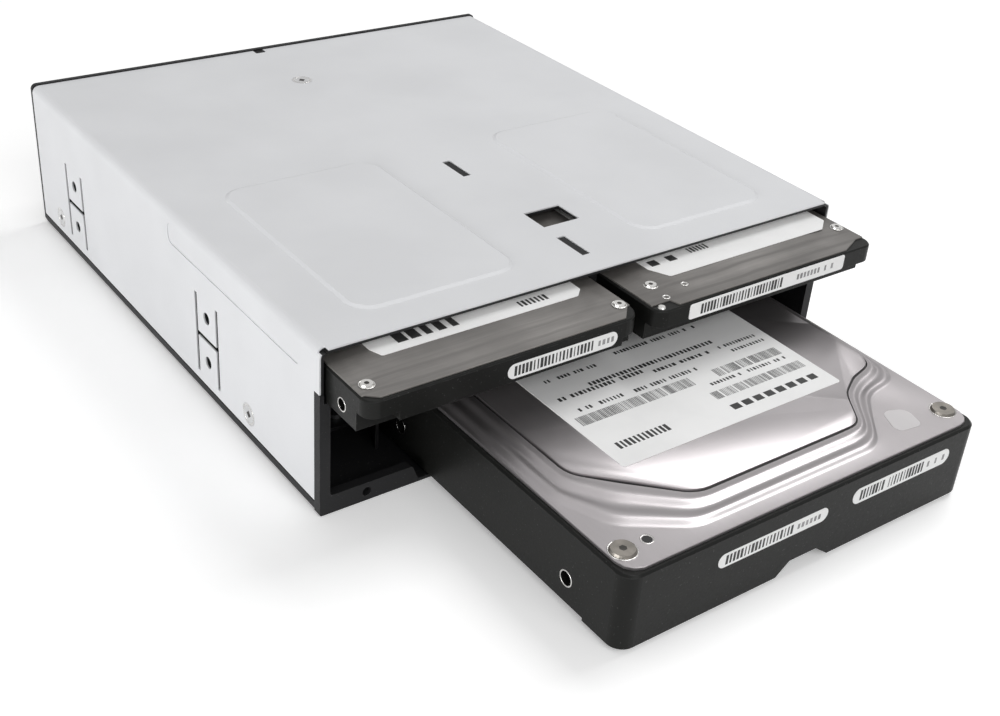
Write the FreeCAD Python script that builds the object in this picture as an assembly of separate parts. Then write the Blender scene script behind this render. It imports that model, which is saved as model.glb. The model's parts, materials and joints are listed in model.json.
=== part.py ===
import FreeCAD, Part
import math
import os

from FreeCAD import Vector

# Hot swap drive cage for one 5.25 inch half-height bay: two 2.5 inch drives side by side above
# one slim 3.5 inch drive. Millimetres, +X to the right seen from the front, +Y to the rear, +Z up.
# The origin is the centre of the cage's underside.

# ---- drives (standard form factors) -------------------------------------------------------
large_width = 101.6
large_length = 147.0
large_height = 19.98
large_tallest = 26.1          # tallest drive that the large bay takes
large_casting_height = 18.0
large_centre_x = 4.56
large_pulled = 66.0           # how far each drive stands out of the front at rest
small_width = 69.85
small_length = 100.2
small_height = 9.5
small_casting_height = 8.5
left_pulled = 15.5
right_pulled = 16.8
label_thickness = 0.1
cover_sheet_of_drive = 0.7    # flange of the large drive's stamped cover
large_ridge_rise = 0.6
small_flange = 0.35
large_screw_inset_x = 4.3
large_screw_inset_y = 6.9
large_side_hole_insets = (130.1, 70.1, 28.5)      # from the connector end
large_side_hole_z = 6.35
large_bottom_hole_insets = (117.5, 41.3)
large_bottom_hole_spread = 95.25
drive_screw_bore = 1.6
large_board_side_inset = 5.8
large_board_front = 47.0
large_board_rear_inset = 8.0
large_board_z = 1.2
large_board_screw_inset = 5.0
large_board_screw_end_insets = (13.0, 21.0)       # from the board's front and rear edges
motor_front = 60.0
motor_radius = 14.0
large_label_left = 20.2
large_label_right_inset = 17.2
large_label_front = 25.7
large_label_rear_inset = 29.0
small_side_hole_insets = (90.6, 14.0)
small_side_hole_z = 3.0
small_side_bore = 1.3
small_board_side_inset = 2.9
small_board_front = 30.0
small_board_rear_inset = 7.0
small_board_z = 0.7
small_board_thickness = 0.8
small_board_screw_inset = 4.0
small_board_screw_end_insets = (10.0, 13.2)
small_motor_front = 34.0
small_motor_radius = 10.0
small_rear_screw_inset = 12.0
small_label_rear_inset = 22.2
small_front_reach = 4.0       # how far the lifted underside of a small drive's front end runs back
finger_notch_depth = 9.0
large_end_label_spans = ((23.7, 54.6, 10.2, 13.7), (62.0, 93.0, 10.6, 14.6))

# ---- sheet metal ----------------------------------------------------------------------------
cover_sheet = 1.0
cover_bend_radius = 1.9
cover_lift = 3.0              # height of the cover's lower edge above the underside
cover_step_height = 30.6      # below this the cover's front edge is set back
cover_front_inset = 0.15
corner_relief = 1.3
tray_sheet = 0.8
tray_bend_radius = 1.2
shelf_sheet = 0.8
rear_plate_sheet = 1.2
rear_corner_radius = 1.5
divider_sheet = 2.0

# ---- clearances -----------------------------------------------------------------------------
slide_gap = 0.3               # between a drive and what it slides on
small_side_room = 0.575       # beside each small drive
small_head_room = 1.9         # above the small drives
socket_room = 9.0             # behind a seated large drive
seat_gap = 0.05               # round a screw or a tab in its hole
edge_gap = 0.2                # between sheet edges that do not carry load

# ---- pressed panels in the cover ---------------------------------------------------------------
emboss_height = 0.4
emboss_slope = 0.9
emboss_corner_radius = 6.0
emboss_front = 9.0
emboss_rear = 74.0
emboss_left_span = (14.0, 56.5)     # from the left edge of the cover
emboss_right_span = (13.0, 54.5)    # from the right edge of the cover
coin_depth = 0.2
coin_low = 33.0
coin_front = 8.0
coin_rear = 71.0
coin_top_room = 2.5

# ---- openings in the cover's top ---------------------------------------------------------------
divider_slot_width = 2.3
divider_slot_length = 9.8
divider_slot_starts = (7.2, 54.7)
window_left = -0.4
window_width = 10.6
window_front = 22.6
window_length = 8.2
hook_width = 3.2
hook_reach = 2.4

# ---- front frame ----------------------------------------------------------------------------
frame_thickness = 2.3
post_width = 2.5
sill_height = 4.6
sill_hole_radius = 1.1
sill_side_room = 2.1          # sill stands this far clear of the large drive on each side
sill_ramp = 1.6
frame_clip_reach = 7.0
frame_clip_low = 9.0
frame_clip_high = 25.0

# ---- 5.25 inch bay mounting -----------------------------------------------------------------
mount_front = 51.9            # first hole from the front
mount_pitch_y = 79.25
mount_low_z = 10.03
mount_high_z = 21.84
mount_hole_radius = 1.5
bottom_mount_inset = 3.15     # bottom holes from the cage's sides
tab_slot_width = 1.2
tab_slot_pitch = 10.5
tab_slot_reach = 4.7          # slots run this far past the holes
driver_clear_radius = 2.2

# ---- countersunk cover screws ---------------------------------------------------------------
screw_head_radius = 2.9
screw_shank_radius = 1.4
screw_length = 3.6
side_screw_front = 32.0
side_screw_rear_inset = 14.0
side_screw_z = 7.3
top_screw_x = -5.1
top_screw_rear_inset = 28.0
post_across = 5.0

# ---- shelf, divider, guides, springs ----------------------------------------------------------
shelf_rear_room = 4.0
shelf_tab_width = 12.0
shelf_tab_drop = 6.0
shelf_tab_places = (22.0, 88.0, 114.0)
shelf_vent_length = 40.0
shelf_vent_width = 5.0
shelf_vent_places = (55.0, 71.0, 87.0)
rivet_radius = 1.2
rivet_head_radius = 2.2
rivet_head_height = 0.8
divider_front = 4.0
divider_rear_room = 6.2       # in front of the seated small drives' rear ends
divider_lead = 3.0
divider_foot_starts = (26.0, 74.0)
divider_foot_length = 10.0
guide_front = 14.0
guide_rear_inset = 18.0
guide_height = 8.0
guide_foot = 9.0
guide_flare = 3.5
guide_flare_length = 9.0
guide_sheet = 0.8
guide_slot_offsets = (34.0, 76.0)
guide_slot_length = 24.0
guide_slot_low = 3.2
guide_slot_height = 2.6
spring_strip = 0.4
spring_width = 8.0
spring_foot = 4.0
large_spring_chord = 36.0
large_spring_front = 26.0
large_spring_offset = 30.0
small_spring_chord = 18.0
small_spring_rear_room = 6.2

# ---- rear plate's ears and vents --------------------------------------------------------------
ear_margin = 4.5              # rear plate's ears, past the side screws
ear_low = 3.8
ear_high = 25.0
floor_vent_length = 11.0
floor_vent_width = 3.2
floor_vent_pitch = 17.0
floor_vent_rows = (31.0, 43.0, 55.0, 103.0, 115.0)
rear_vent_pitch = 6.0
rear_vent_count = 6
rear_vent_left = 20.0
rear_vent_z = 14.0
rear_vent_height = 8.0
rear_vent_width = 3.0

# ---- circuit boards and connectors ------------------------------------------------------------
board_thickness = 1.6
upper_board_room = 1.8        # behind the seated small drives' rear ends
upper_board_rear_inset = 6.0
upper_board_side_room = 7.0
upper_standoff = 1.5
standoff_radius = 2.4
post_hole_radius = 3.4
board_screw_radius = 1.25
board_screw_head_radius = 2.4
board_screw_head_height = 1.1
board_screw_side_inset = 4.0
board_screw_end_inset = 9.0
backplane_gap = 4.0           # board to rear plate
backplane_bottom = 2.4
backplane_top_room = 0.6
backplane_half_width = 50.0
backplane_screw_x = 46.5
backplane_screw_z_inset = 3.0
backplane_window = (12.0, 38.0, 14.0, 20.0)
board_corner_radius = 1.5
small_seat_from_front = 2.0   # a drive's front end, fully in, behind the cage's front
large_seat_from_front = 2.0
plug_width = 40.6
plug_height = 4.5
plug_depth = 4.4              # how far a socket reaches into a drive
plug_slot_height = 1.9
plug_wall = 0.5               # housing wall above and below the hollow
plug_end_wall = 2.2           # housing wall beside the hollow
socket_shoulder = 2.5
small_socket_length = 12.0
blade_thickness = 1.2
blade_room = 0.7
data_blade_width = 10.4
power_blade_width = 20.6
blade_separation = 3.4
small_plug_offset = 10.0      # connector's middle from the drive's middle
large_plug_offset = 20.0
large_plug_z = 3.2            # hollow's floor above the large drive's underside
large_plug_housing = 9.0
small_plug_housing = 7.5
port_length = 15.0
data_port_width = 15.0
power_port_width = 27.0
port_height = 6.4
port_opening_height = 3.6
port_mouth_depth = 4.2
port_wall = 1.5
port_blade_recess = 0.8
left_data_inset = 23.0        # ports on the upper board, from the nearer side of the cage
right_data_inset = 45.0
upper_power_inset = 43.0
large_data_offset = -32.5     # ports of the large drive, from its middle
lower_power_offset = -5.0
lower_port_z = 12.0
capacitor_radius = 2.6
capacitor_height = 5.6
capacitor_places = (-12.0, 6.0, 52.0, 59.0)
chip_height = 1.2
chips = ((-38.0, 9.0), (22.0, 7.0), (44.0, 5.0))

# ---- derived places ---------------------------------------------------------------------------
half_width = cover_sheet + 2 * small_side_room + small_width + divider_sheet / 2
cage_depth = large_seat_from_front + large_length + socket_room
front_y = -cage_depth / 2
rear_y = cage_depth / 2
plate_front_y = rear_y - rear_plate_sheet
tray_outer = half_width - cover_sheet
tray_inner = tray_outer - tray_sheet
large_bottom = tray_sheet + slide_gap
shelf_underside = large_bottom + large_tallest + edge_gap
shelf_top = shelf_underside + shelf_sheet
small_bottom = shelf_top + slide_gap
cover_underside = small_bottom + small_height + small_head_room
cover_top = cover_underside + cover_sheet
cage_height = cover_top + emboss_height
small_centre_x = divider_sheet / 2 + small_side_room + small_width / 2
component_row = (small_seat_from_front + small_length + small_socket_length - plug_depth
                 + cage_depth - port_length) / 2
large_left = large_centre_x - large_width / 2
large_right = large_centre_x + large_width / 2
upper_board_z = shelf_top + upper_standoff
upper_board_top = upper_board_z + board_thickness
upper_board_half_width = half_width - upper_board_side_room
upper_screw_x = upper_board_half_width - board_screw_side_inset
upper_board_front = small_seat_from_front + small_length + upper_board_room
upper_board_rear = cage_depth - upper_board_rear_inset
backplane_front_y = plate_front_y - backplane_gap - board_thickness
backplane_top = shelf_underside - backplane_top_room
small_plug_z = upper_board_top - small_bottom - slide_gap


# ---- what differs between the two small drives, from each one's front left corner -----------
left_drive = {
    "corner_radii": (3.0, 5.0),
    "cover_corners": ((0.7, 2.0, 2.4), (0.7, 3.8, 3.6)),     # width, depth, slant: left, right
    "front_lifts": ((-1.0, 7.5, 4.4), (7.5, 64.2, 2.4), (64.2, 71.0, 4.4)),
    "screw_insets": (3.2, 2.6),
    "screw_front": 5.6,
    "step_front": 2.9,
    "label_insets": (9.8, 6.4),
    "label_front": 12.4,
    "label_slants": ((1.2, 3.2), (2.3, 2.2)),
    "end_label": (33.4, 62.6, 3.2, 6.8),
}
right_drive = {
    "corner_radii": (3.0, 3.0),
    "cover_corners": ((5.4, 2.4, 0.8), (2.6, 2.8, 6.4)),
    "front_lifts": ((-1.0, 71.0, 4.2),),
    "screw_insets": (6.2, 2.6),
    "screw_front": 10.2,
    "step_front": 5.0,
    "label_insets": (10.0, 3.4),
    "label_front": 10.6,
    "label_slants": ((2.6, 5.0), (4.0, 3.2)),
    "end_label": (9.2, 59.4, 4.3, 8.2),
}


def at(from_front):
    """Y of a place given as its distance behind the cage's front plane."""
    return front_y + from_front


# ---- building blocks --------------------------------------------------------------------------
def box(x0, x1, y0, y1, z0, z1):
    return Part.makeBox(x1 - x0, y1 - y0, z1 - z0, Vector(x0, y0, z0))


def rod(radius, start, end):
    """Cylinder from one point to another."""
    along = end - start
    return Part.makeCylinder(radius, along.Length, start, along)


def fused(shapes):
    body = shapes[0]
    if len(shapes) > 1:
        body = body.multiFuse(shapes[1:])
    return body.removeSplitter()


def cut(body, tools):
    return body.cut(Part.makeCompound(tools)) if tools else body


def mirrored(shape, plane_x=0.0):
    return shape.mirror(Vector(plane_x, 0, 0), Vector(1, 0, 0))


def rounded_wire(corners, z=0.0):
    """Closed outline in the XY plane. Each corner is (x, y, radius)."""
    edges = []
    joins = []
    count = len(corners)
    for i in range(count):
        here = Vector(corners[i][0], corners[i][1], z)
        before = Vector(corners[i - 1][0], corners[i - 1][1], z)
        after = Vector(corners[(i + 1) % count][0], corners[(i + 1) % count][1], z)
        radius = corners[i][2]
        if radius <= 0:
            joins.append((here, None, here))
            continue
        back = (before - here).normalize()
        ahead = (after - here).normalize()
        half_turn = back.getAngle(ahead) / 2
        reach = radius / math.tan(half_turn)
        middle = (back + ahead).normalize()
        centre = here + middle * (radius / math.sin(half_turn))
        crown = centre - middle * radius
        joins.append((here + back * reach, crown, here + ahead * reach))
    for i in range(count):
        enter, crown, leave = joins[i]
        if crown is not None:
            edges.append(Part.Arc(enter, crown, leave).toShape())
        following = joins[(i + 1) % count][0]
        if leave.distanceToPoint(following) > 1e-6:
            edges.append(Part.LineSegment(leave, following).toShape())
    return Part.Wire(edges)


def plate(corners, z0, z1):
    """Flat plate with a rounded outline between two heights."""
    return Part.Face(rounded_wire(corners, z0)).extrude(Vector(0, 0, z1 - z0))


def rectangle(x0, x1, y0, y1, radius):
    return [(x0, y0, radius), (x1, y0, radius), (x1, y1, radius), (x0, y1, radius)]


def side_profile(points, x0, x1):
    """Polygon of (y, z) points, extruded along X."""
    wire = Part.makePolygon([Vector(x0, y, z) for y, z in points + points[:1]])
    return Part.Face(wire).extrude(Vector(x1 - x0, 0, 0))


def front_profile(corners, y0, y1):
    """Outline of (x, z, radius) corners, extruded along Y."""
    flat = Part.Face(rounded_wire(corners))
    flat.rotate(Vector(0, 0, 0), Vector(1, 0, 0), 90)
    flat.translate(Vector(0, y0, 0))
    return flat.extrude(Vector(0, y1 - y0, 0))


def obround(cx, cy, length, width, z0, z1):
    """Slot along X with round ends, standing on the XY plane."""
    half = length / 2
    side = width / 2
    return plate(rectangle(cx - half, cx + half, cy - side, cy + side, side * 0.999), z0, z1)


def countersunk(start, direction, gap=0.0):
    """Countersunk screw whose flat head lies at start and whose shank runs along direction."""
    depth = cover_sheet * 0.8
    unit = Vector(direction).normalize()
    cone = Part.makeCone(screw_head_radius + gap, screw_shank_radius + gap, depth, start, unit)
    shank = rod(screw_shank_radius + gap, start + unit * depth, start + unit * (screw_length + gap))
    return cone.fuse(shank).removeSplitter()


def raised_panel(x0, x1, y0, y1, base, height, slope, radius):
    """Low stamped panel with sloped sides."""
    foot = rounded_wire(rectangle(x0, x1, y0, y1, radius), base)
    crown = rounded_wire(rectangle(x0 + slope, x1 - slope, y0 + slope, y1 - slope, radius - slope),
                         base + height)
    return Part.makeLoft([foot, crown], True, True)


def stepped(outline, z0, z1, bevel):
    """Stamped step: a raised outline whose upper edge is bevelled."""
    body = plate(outline, z0, z1)
    rim = [edge for edge in body.Edges
           if abs(edge.BoundBox.ZMin - z1) < 1e-6 and abs(edge.BoundBox.ZMax - z1) < 1e-6]
    return body.makeChamfer(bevel, rim)


# ---- cage shell -------------------------------------------------------------------------------
def side_screw_points():
    """Heads of the countersunk side screws and the way their shanks run."""
    points = []
    for sign in (-1, 1):
        for place in (side_screw_front, cage_depth - side_screw_rear_inset):
            points.append((Vector(sign * half_width, at(place), side_screw_z), Vector(-sign, 0, 0)))
    return points


def emboss_panels(base):
    """The two raised panels in the cover's top, standing on a height."""
    spans = [(-half_width + emboss_left_span[0], -half_width + emboss_left_span[1]),
             (half_width - emboss_right_span[1], half_width - emboss_right_span[0])]
    return [raised_panel(x0, x1, at(emboss_front), at(emboss_rear), base, emboss_height,
                         emboss_slope, emboss_corner_radius) for x0, x1 in spans]


def mount_points(sign):
    """The four M3 mounting holes on one side of the cage."""
    return [Vector(sign * half_width, at(mount_front + row * mount_pitch_y), z)
            for row in (0, 1) for z in (mount_low_z, mount_high_z)]


def make_top_cover():
    y0 = front_y + cover_front_inset
    outer = [(-half_width, cover_lift, 0), (-half_width, cover_top, cover_bend_radius),
             (half_width, cover_top, cover_bend_radius), (half_width, cover_lift, 0)]
    inner_radius = cover_bend_radius - cover_sheet
    inner = [(tray_outer, cover_lift, 0), (tray_outer, cover_underside, inner_radius),
             (-tray_outer, cover_underside, inner_radius), (-tray_outer, cover_lift, 0)]
    shell = front_profile(outer + inner, y0, plate_front_y)
    shell = fused([shell] + emboss_panels(cover_top))
    tools = emboss_panels(cover_underside)
    # lower front edge set back round the black front frame, and the bend relief at each corner
    for sign in (-1, 1):
        x0, x1 = sorted((sign * (tray_outer - 0.5), sign * (half_width + 1)))
        tools.append(box(x0, x1, front_y - 1, at(frame_thickness), 0, cover_step_height))
        bend_start = half_width - cover_bend_radius - edge_gap
        x0, x1 = sorted((sign * bend_start, sign * (half_width + 1)))
        tools.append(box(x0, x1, front_y - 1, y0 + corner_relief, cover_underside, cover_top + 1))
    # slots for the divider's tabs, and the window over the right-hand small bay
    for start in divider_slot_starts:
        tools.append(box(-divider_slot_width / 2, divider_slot_width / 2, at(start),
                         at(start + divider_slot_length), cover_underside - 1, cover_top + 1))
    tools.append(box(window_left, window_left + window_width, at(window_front),
                     at(window_front + window_length), cover_underside - 1, cover_top + 1))
    # notch that hooks on the rear plate's tab
    tools.append(box(top_screw_x - hook_width / 2, top_screw_x + hook_width / 2,
                     plate_front_y - hook_reach, plate_front_y + 1, cover_underside - 1, cover_top + 1))
    tools.append(countersunk(top_screw_head(), Vector(0, 0, -1), seat_gap))
    for point, inward in side_screw_points():
        tools.append(countersunk(point, inward, seat_gap))
    for sign in (-1, 1):
        tools += h_slots(sign)
        for point in mount_points(sign):
            tools.append(rod(mount_hole_radius, point + Vector(sign, 0, 0),
                             point - Vector(sign * 2 * cover_sheet, 0, 0)))
        tools.append(side_coin(sign))
    return cut(shell, tools)


def h_slots(sign):
    """Two upright slots joined by a bar at each pair of mounting holes."""
    tools = []
    x0, x1 = sorted((sign * (tray_outer - 0.1), sign * (half_width + 1)))
    bar_z = (mount_low_z + mount_high_z) / 2
    for row in (0, 1):
        middle = at(mount_front + row * mount_pitch_y)
        for side in (-1, 1):
            slot_y = middle + side * tab_slot_pitch / 2
            tools.append(box(x0, x1, slot_y - tab_slot_width / 2, slot_y + tab_slot_width / 2,
                             mount_low_z - tab_slot_reach, mount_high_z + tab_slot_reach))
        tools.append(box(x0, x1, middle - tab_slot_pitch / 2, middle + tab_slot_pitch / 2,
                         bar_z - tab_slot_width / 2, bar_z + tab_slot_width / 2))
    return [fused(tools[:3]), fused(tools[3:])]


def side_coin(sign):
    """Shallow pressed panel high on each side of the cover."""
    panel = raised_panel(0, cover_top - coin_top_room - coin_low, coin_front, coin_rear, 0,
                         coin_depth + 1, 0.3, 2.0)
    panel.rotate(Vector(0, 0, 0), Vector(0, 1, 0), -90)
    panel.translate(Vector(-half_width + coin_depth, front_y, coin_low))
    return panel if sign < 0 else mirrored(panel)


def make_base_tray():
    """Floor, joggled lower edge and side walls that stand inside the cover."""
    step_low = cover_lift - 0.4
    inner_step = cover_lift + 0.5
    outer = [(-tray_outer, shelf_top, 0), (-tray_outer, cover_lift, 0), (-half_width, step_low, 0),
             (-half_width, 0, tray_bend_radius), (half_width, 0, tray_bend_radius),
             (half_width, step_low, 0), (tray_outer, cover_lift, 0), (tray_outer, shelf_top, 0)]
    inner_radius = tray_bend_radius - tray_sheet
    inner_wide = half_width - tray_sheet
    inner = [(tray_inner, shelf_top, 0), (tray_inner, inner_step, 0),
             (inner_wide, inner_step - cover_sheet, 0), (inner_wide, tray_sheet, inner_radius),
             (-inner_wide, tray_sheet, inner_radius), (-inner_wide, inner_step - cover_sheet, 0),
             (-tray_inner, inner_step, 0), (-tray_inner, shelf_top, 0)]
    tray = front_profile(outer + inner, at(frame_thickness), plate_front_y)
    tools = []
    for sign in (-1, 1):
        for point in mount_points(sign):
            tools.append(rod(driver_clear_radius, point, point - Vector(sign * 4, 0, 0)))
        for place in shelf_tab_places:
            end = Vector(sign * half_width, at(place), rivet_z())
            tools.append(rod(rivet_radius + seat_gap, end, end - Vector(sign * 4, 0, 0)))
        for row in (0, 1):
            foot = Vector(sign * (half_width - bottom_mount_inset),
                          at(mount_front + row * mount_pitch_y), -1)
            tools.append(rod(mount_hole_radius, foot, foot + Vector(0, 0, 3)))
    for point, inward in side_screw_points():
        tools.append(rod(screw_shank_radius + seat_gap, point, point + inward * 4))
    for side, x in guide_rivet_columns():
        for y in guide_rivet_rows():
            tools.append(rod(rivet_radius + seat_gap, Vector(x, y, -1), Vector(x, y, 2)))
    tools += floor_vents()
    return cut(tray, tools)


def floor_vents():
    """Rows of square-ended vents punched in the floor under the large drive."""
    half_length = floor_vent_length / 2
    half_slot = floor_vent_width / 2
    return [box(large_centre_x + column * floor_vent_pitch - half_length,
                large_centre_x + column * floor_vent_pitch + half_length,
                at(row - half_slot), at(row + half_slot), -1, tray_sheet + 1)
            for row in floor_vent_rows for column in range(-2, 3)]


def make_front_frame():
    """Black frame round the drive openings: two posts and a sill that dips for the large drive."""
    post_inner = half_width - post_width
    dip = [large_left - sill_side_room, large_right + sill_side_room]
    low = tray_sheet
    horn = cover_step_height - edge_gap / 2
    outline = [(-half_width, 0, 0.6), (half_width, 0, 0.6), (half_width, horn, 0),
               (tray_outer, horn, 0), (tray_outer, shelf_top, 0), (post_inner, shelf_top, 0.4),
               (post_inner, sill_height, 0.8), (dip[1] + sill_ramp, sill_height, 0.8),
               (dip[1], low, 0), (dip[0], low, 0), (dip[0] - sill_ramp, sill_height, 0.8),
               (-post_inner, sill_height, 0.8), (-post_inner, shelf_top, 0.4),
               (-tray_outer, shelf_top, 0), (-tray_outer, horn, 0), (-half_width, horn, 0)]
    pieces = [front_profile(outline, front_y, at(frame_thickness))]
    for sign in (-1, 1):
        x0, x1 = sorted((sign * post_inner, sign * tray_inner))
        pieces.append(box(x0, x1, at(frame_thickness), at(frame_thickness + frame_clip_reach),
                          frame_clip_low, frame_clip_high))
    holes = []
    for x in ((dip[0] - sill_ramp - half_width) / 2, (dip[1] + sill_ramp + half_width) / 2):
        centre = Vector(x, front_y - 1, sill_height / 2)
        holes.append(rod(sill_hole_radius, centre, centre + Vector(0, frame_thickness + 2, 0)))
    return cut(fused(pieces), holes)


def make_rear_plate():
    """Rear wall with port cut-outs, vents and the two ears that the side screws hold."""
    outline = rectangle(-half_width, half_width, 0, cage_height, rear_corner_radius)
    pieces = [front_profile(outline, plate_front_y, rear_y)]
    for sign in (-1, 1):
        x0, x1 = sorted((sign * (tray_inner - rear_plate_sheet), sign * tray_inner))
        pieces.append(box(x0, x1, rear_y - side_screw_rear_inset - ear_margin, plate_front_y,
                          ear_low, ear_high))
    pieces.append(box(top_screw_x - hook_width / 2 + edge_gap, top_screw_x + hook_width / 2 - edge_gap,
                      plate_front_y - hook_reach + edge_gap, plate_front_y,
                      cover_underside + 0.1, cover_top - 0.1))
    tools = [rod(screw_shank_radius + seat_gap, point, point + inward * 5)
             for point, inward in side_screw_points()]
    for x, width, z in port_places():
        tools.append(box(x - width / 2 - edge_gap, x + width / 2 + edge_gap, plate_front_y - 1,
                         rear_y + 1, z - edge_gap, z + port_height + edge_gap))
    for x, z in backplane_screw_places():
        tools.append(rod(board_screw_radius + seat_gap, Vector(x, plate_front_y - 1, z),
                         Vector(x, rear_y + 1, z)))
    return cut(fused(pieces), tools + rear_vents())


def rear_vents():
    """Upright square-ended vents between the ports."""
    vents = []
    for column in range(rear_vent_count):
        x = rear_vent_left + column * rear_vent_pitch
        vents.append(box(x - rear_vent_width / 2, x + rear_vent_width / 2, plate_front_y - 1, rear_y + 1,
                         rear_vent_z - rear_vent_height / 2, rear_vent_z + rear_vent_height / 2))
    return vents


# ---- shelf and divider ------------------------------------------------------------------------
def rivet_z():
    return shelf_underside - shelf_tab_drop / 2


def make_drive_shelf():
    """Plate between the large bay and the small bays, hung on tabs along the tray's walls."""
    wide = tray_inner - edge_gap
    pieces = [box(-wide, wide, at(frame_thickness), plate_front_y - shelf_rear_room,
                  shelf_underside, shelf_top)]
    for sign in (-1, 1):
        for place in shelf_tab_places:
            x0, x1 = sorted((sign * (tray_inner - shelf_sheet), sign * tray_inner))
            pieces.append(box(x0, x1, at(place - shelf_tab_width / 2), at(place + shelf_tab_width / 2),
                              shelf_underside - shelf_tab_drop, shelf_top))
    shelf = fused(pieces)
    tools = []
    for start in divider_foot_starts:
        tools.append(box(-divider_sheet / 2 - seat_gap, divider_sheet / 2 + seat_gap,
                         at(start - seat_gap), at(start + divider_foot_length + seat_gap),
                         shelf_underside - 1, shelf_top + 1))
    for sign in (-1, 1):
        for place in shelf_tab_places:
            end = Vector(sign * half_width, at(place), rivet_z())
            tools.append(rod(rivet_radius + seat_gap, end, end - Vector(sign * 5, 0, 0)))
        for place in shelf_vent_places:
            tools.append(obround(sign * small_centre_x, at(place), shelf_vent_length,
                                 shelf_vent_width, shelf_underside - 1, shelf_top + 1))
    return cut(shelf, tools)


def make_shelf_rivets():
    rivets = []
    for sign in (-1, 1):
        for place in shelf_tab_places:
            end = Vector(sign * tray_outer, at(place), rivet_z())
            inner = Vector(sign * (tray_inner - shelf_sheet), at(place), rivet_z())
            head = inner - Vector(sign * rivet_head_height, 0, 0)
            rivets.append(fused([rod(rivet_radius, end, inner), rod(rivet_head_radius, inner, head)]))
    return rivets


def make_bay_divider():
    """Moulded wall between the small bays. Its tabs hook the shelf and the cover."""
    half = divider_sheet / 2
    top = cover_underside - edge_gap
    front = at(divider_front)
    mouth = front + divider_lead
    rear = at(small_seat_from_front + small_length - divider_rear_room)
    pieces = [side_profile([(mouth, shelf_top), (rear, shelf_top), (rear, top), (mouth, top),
                            (front, top - divider_lead), (front, shelf_top + divider_lead)],
                           -half, half)]
    for start in divider_slot_starts:
        pieces.append(box(-half, half, at(start + edge_gap),
                          at(start + divider_slot_length - edge_gap), top, cover_top - edge_gap))
    for start in divider_foot_starts:
        pieces.append(box(-half, half, at(start), at(start + divider_foot_length),
                          shelf_underside, shelf_top))
    return fused(pieces)


# ---- guides and springs -----------------------------------------------------------------------
def guide_rivet_columns():
    face = large_width / 2 + slide_gap + guide_sheet + guide_foot / 2
    return [(-1, large_centre_x - face), (1, large_centre_x + face)]


def guide_rivet_rows():
    rear = cage_depth - guide_rear_inset
    return [at(guide_front + 16), at((guide_front + rear) / 2), at(rear - 10)]


def make_large_guide(sign):
    """Angle that leads one side of the large drive, flared at its mouth."""
    near = large_width / 2 + slide_gap
    far = near + guide_sheet
    y0 = at(guide_front)
    y1 = rear_y - guide_rear_inset
    mouth = y0 + guide_flare_length
    wall = plate([(near, mouth, 4), (near + guide_flare, y0, 0), (far + guide_flare, y0, 0),
                  (far, mouth, 4), (far, y1, 0), (near, y1, 0)],
                 tray_sheet, tray_sheet + guide_height)
    foot = plate(rectangle(near, far + guide_foot, mouth + 2, y1, 0.7),
                 tray_sheet, tray_sheet + guide_sheet)
    guide = fused([wall, foot])
    tools = [rod(rivet_radius + seat_gap, Vector(far + guide_foot / 2, y, 0),
                 Vector(far + guide_foot / 2, y, 3)) for y in guide_rivet_rows()]
    low = tray_sheet + guide_slot_low
    high = low + guide_slot_height
    for offset in guide_slot_offsets:
        start = y0 + offset
        end = start + guide_slot_length
        tools.append(side_profile([(start, low), (end, low), (end - guide_slot_height, high),
                                   (start + guide_slot_height, high)], near - 1, far + 1))
    guide = cut(guide, tools)
    guide.translate(Vector(large_centre_x, 0, 0))
    return guide if sign > 0 else mirrored(guide, large_centre_x)


def make_guide_rivets():
    seat = tray_sheet + guide_sheet
    rivets = []
    for side, x in guide_rivet_columns():
        for y in guide_rivet_rows():
            rivets.append(fused([rod(rivet_radius, Vector(x, y, 0.1), Vector(x, y, seat)),
                                 rod(rivet_head_radius, Vector(x, y, seat),
                                     Vector(x, y, seat + rivet_head_height))]))
    return rivets


def leaf_spring(x, y0, chord, ceiling, low):
    """Bowed strip with two flat feet, hung under a ceiling and reaching down to a height."""
    foot_z = ceiling - spring_strip
    y1 = y0 + chord
    middle = (y0 + y1) / 2
    half = spring_width / 2
    lower = Part.Arc(Vector(x, y0, foot_z), Vector(x, middle, low), Vector(x, y1, foot_z)).toShape()
    upper = Part.Arc(Vector(x, y1, ceiling), Vector(x, middle, low + spring_strip),
                     Vector(x, y0, ceiling)).toShape()
    ends = [Part.LineSegment(Vector(x, y1, foot_z), Vector(x, y1, ceiling)).toShape(),
            Part.LineSegment(Vector(x, y0, ceiling), Vector(x, y0, foot_z)).toShape()]
    bow = Part.Face(Part.Wire([lower, ends[0], upper, ends[1]])).extrude(Vector(spring_width, 0, 0))
    bow.translate(Vector(-half, 0, 0))
    feet = [box(x - half, x + half, y0 - spring_foot, y0, foot_z, ceiling),
            box(x - half, x + half, y1, y1 + spring_foot, foot_z, ceiling)]
    return fused([bow] + feet)


def make_large_spring(sign):
    low = large_bottom + large_height + slide_gap
    return leaf_spring(large_centre_x + sign * large_spring_offset, at(large_spring_front),
                       large_spring_chord, shelf_underside, low)


def make_small_spring(sign):
    low = small_bottom + small_height + slide_gap
    rear = seated_small_rear() - small_spring_rear_room
    return leaf_spring(sign * small_centre_x, rear - small_spring_chord, small_spring_chord,
                       cover_underside, low)


# ---- cover fasteners --------------------------------------------------------------------------
def top_screw_head():
    return Vector(top_screw_x, rear_y - top_screw_rear_inset, cover_top)


def make_side_screws():
    return [countersunk(point, inward) for point, inward in side_screw_points()]


def make_top_screw():
    return countersunk(top_screw_head(), Vector(0, 0, -1))


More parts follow.
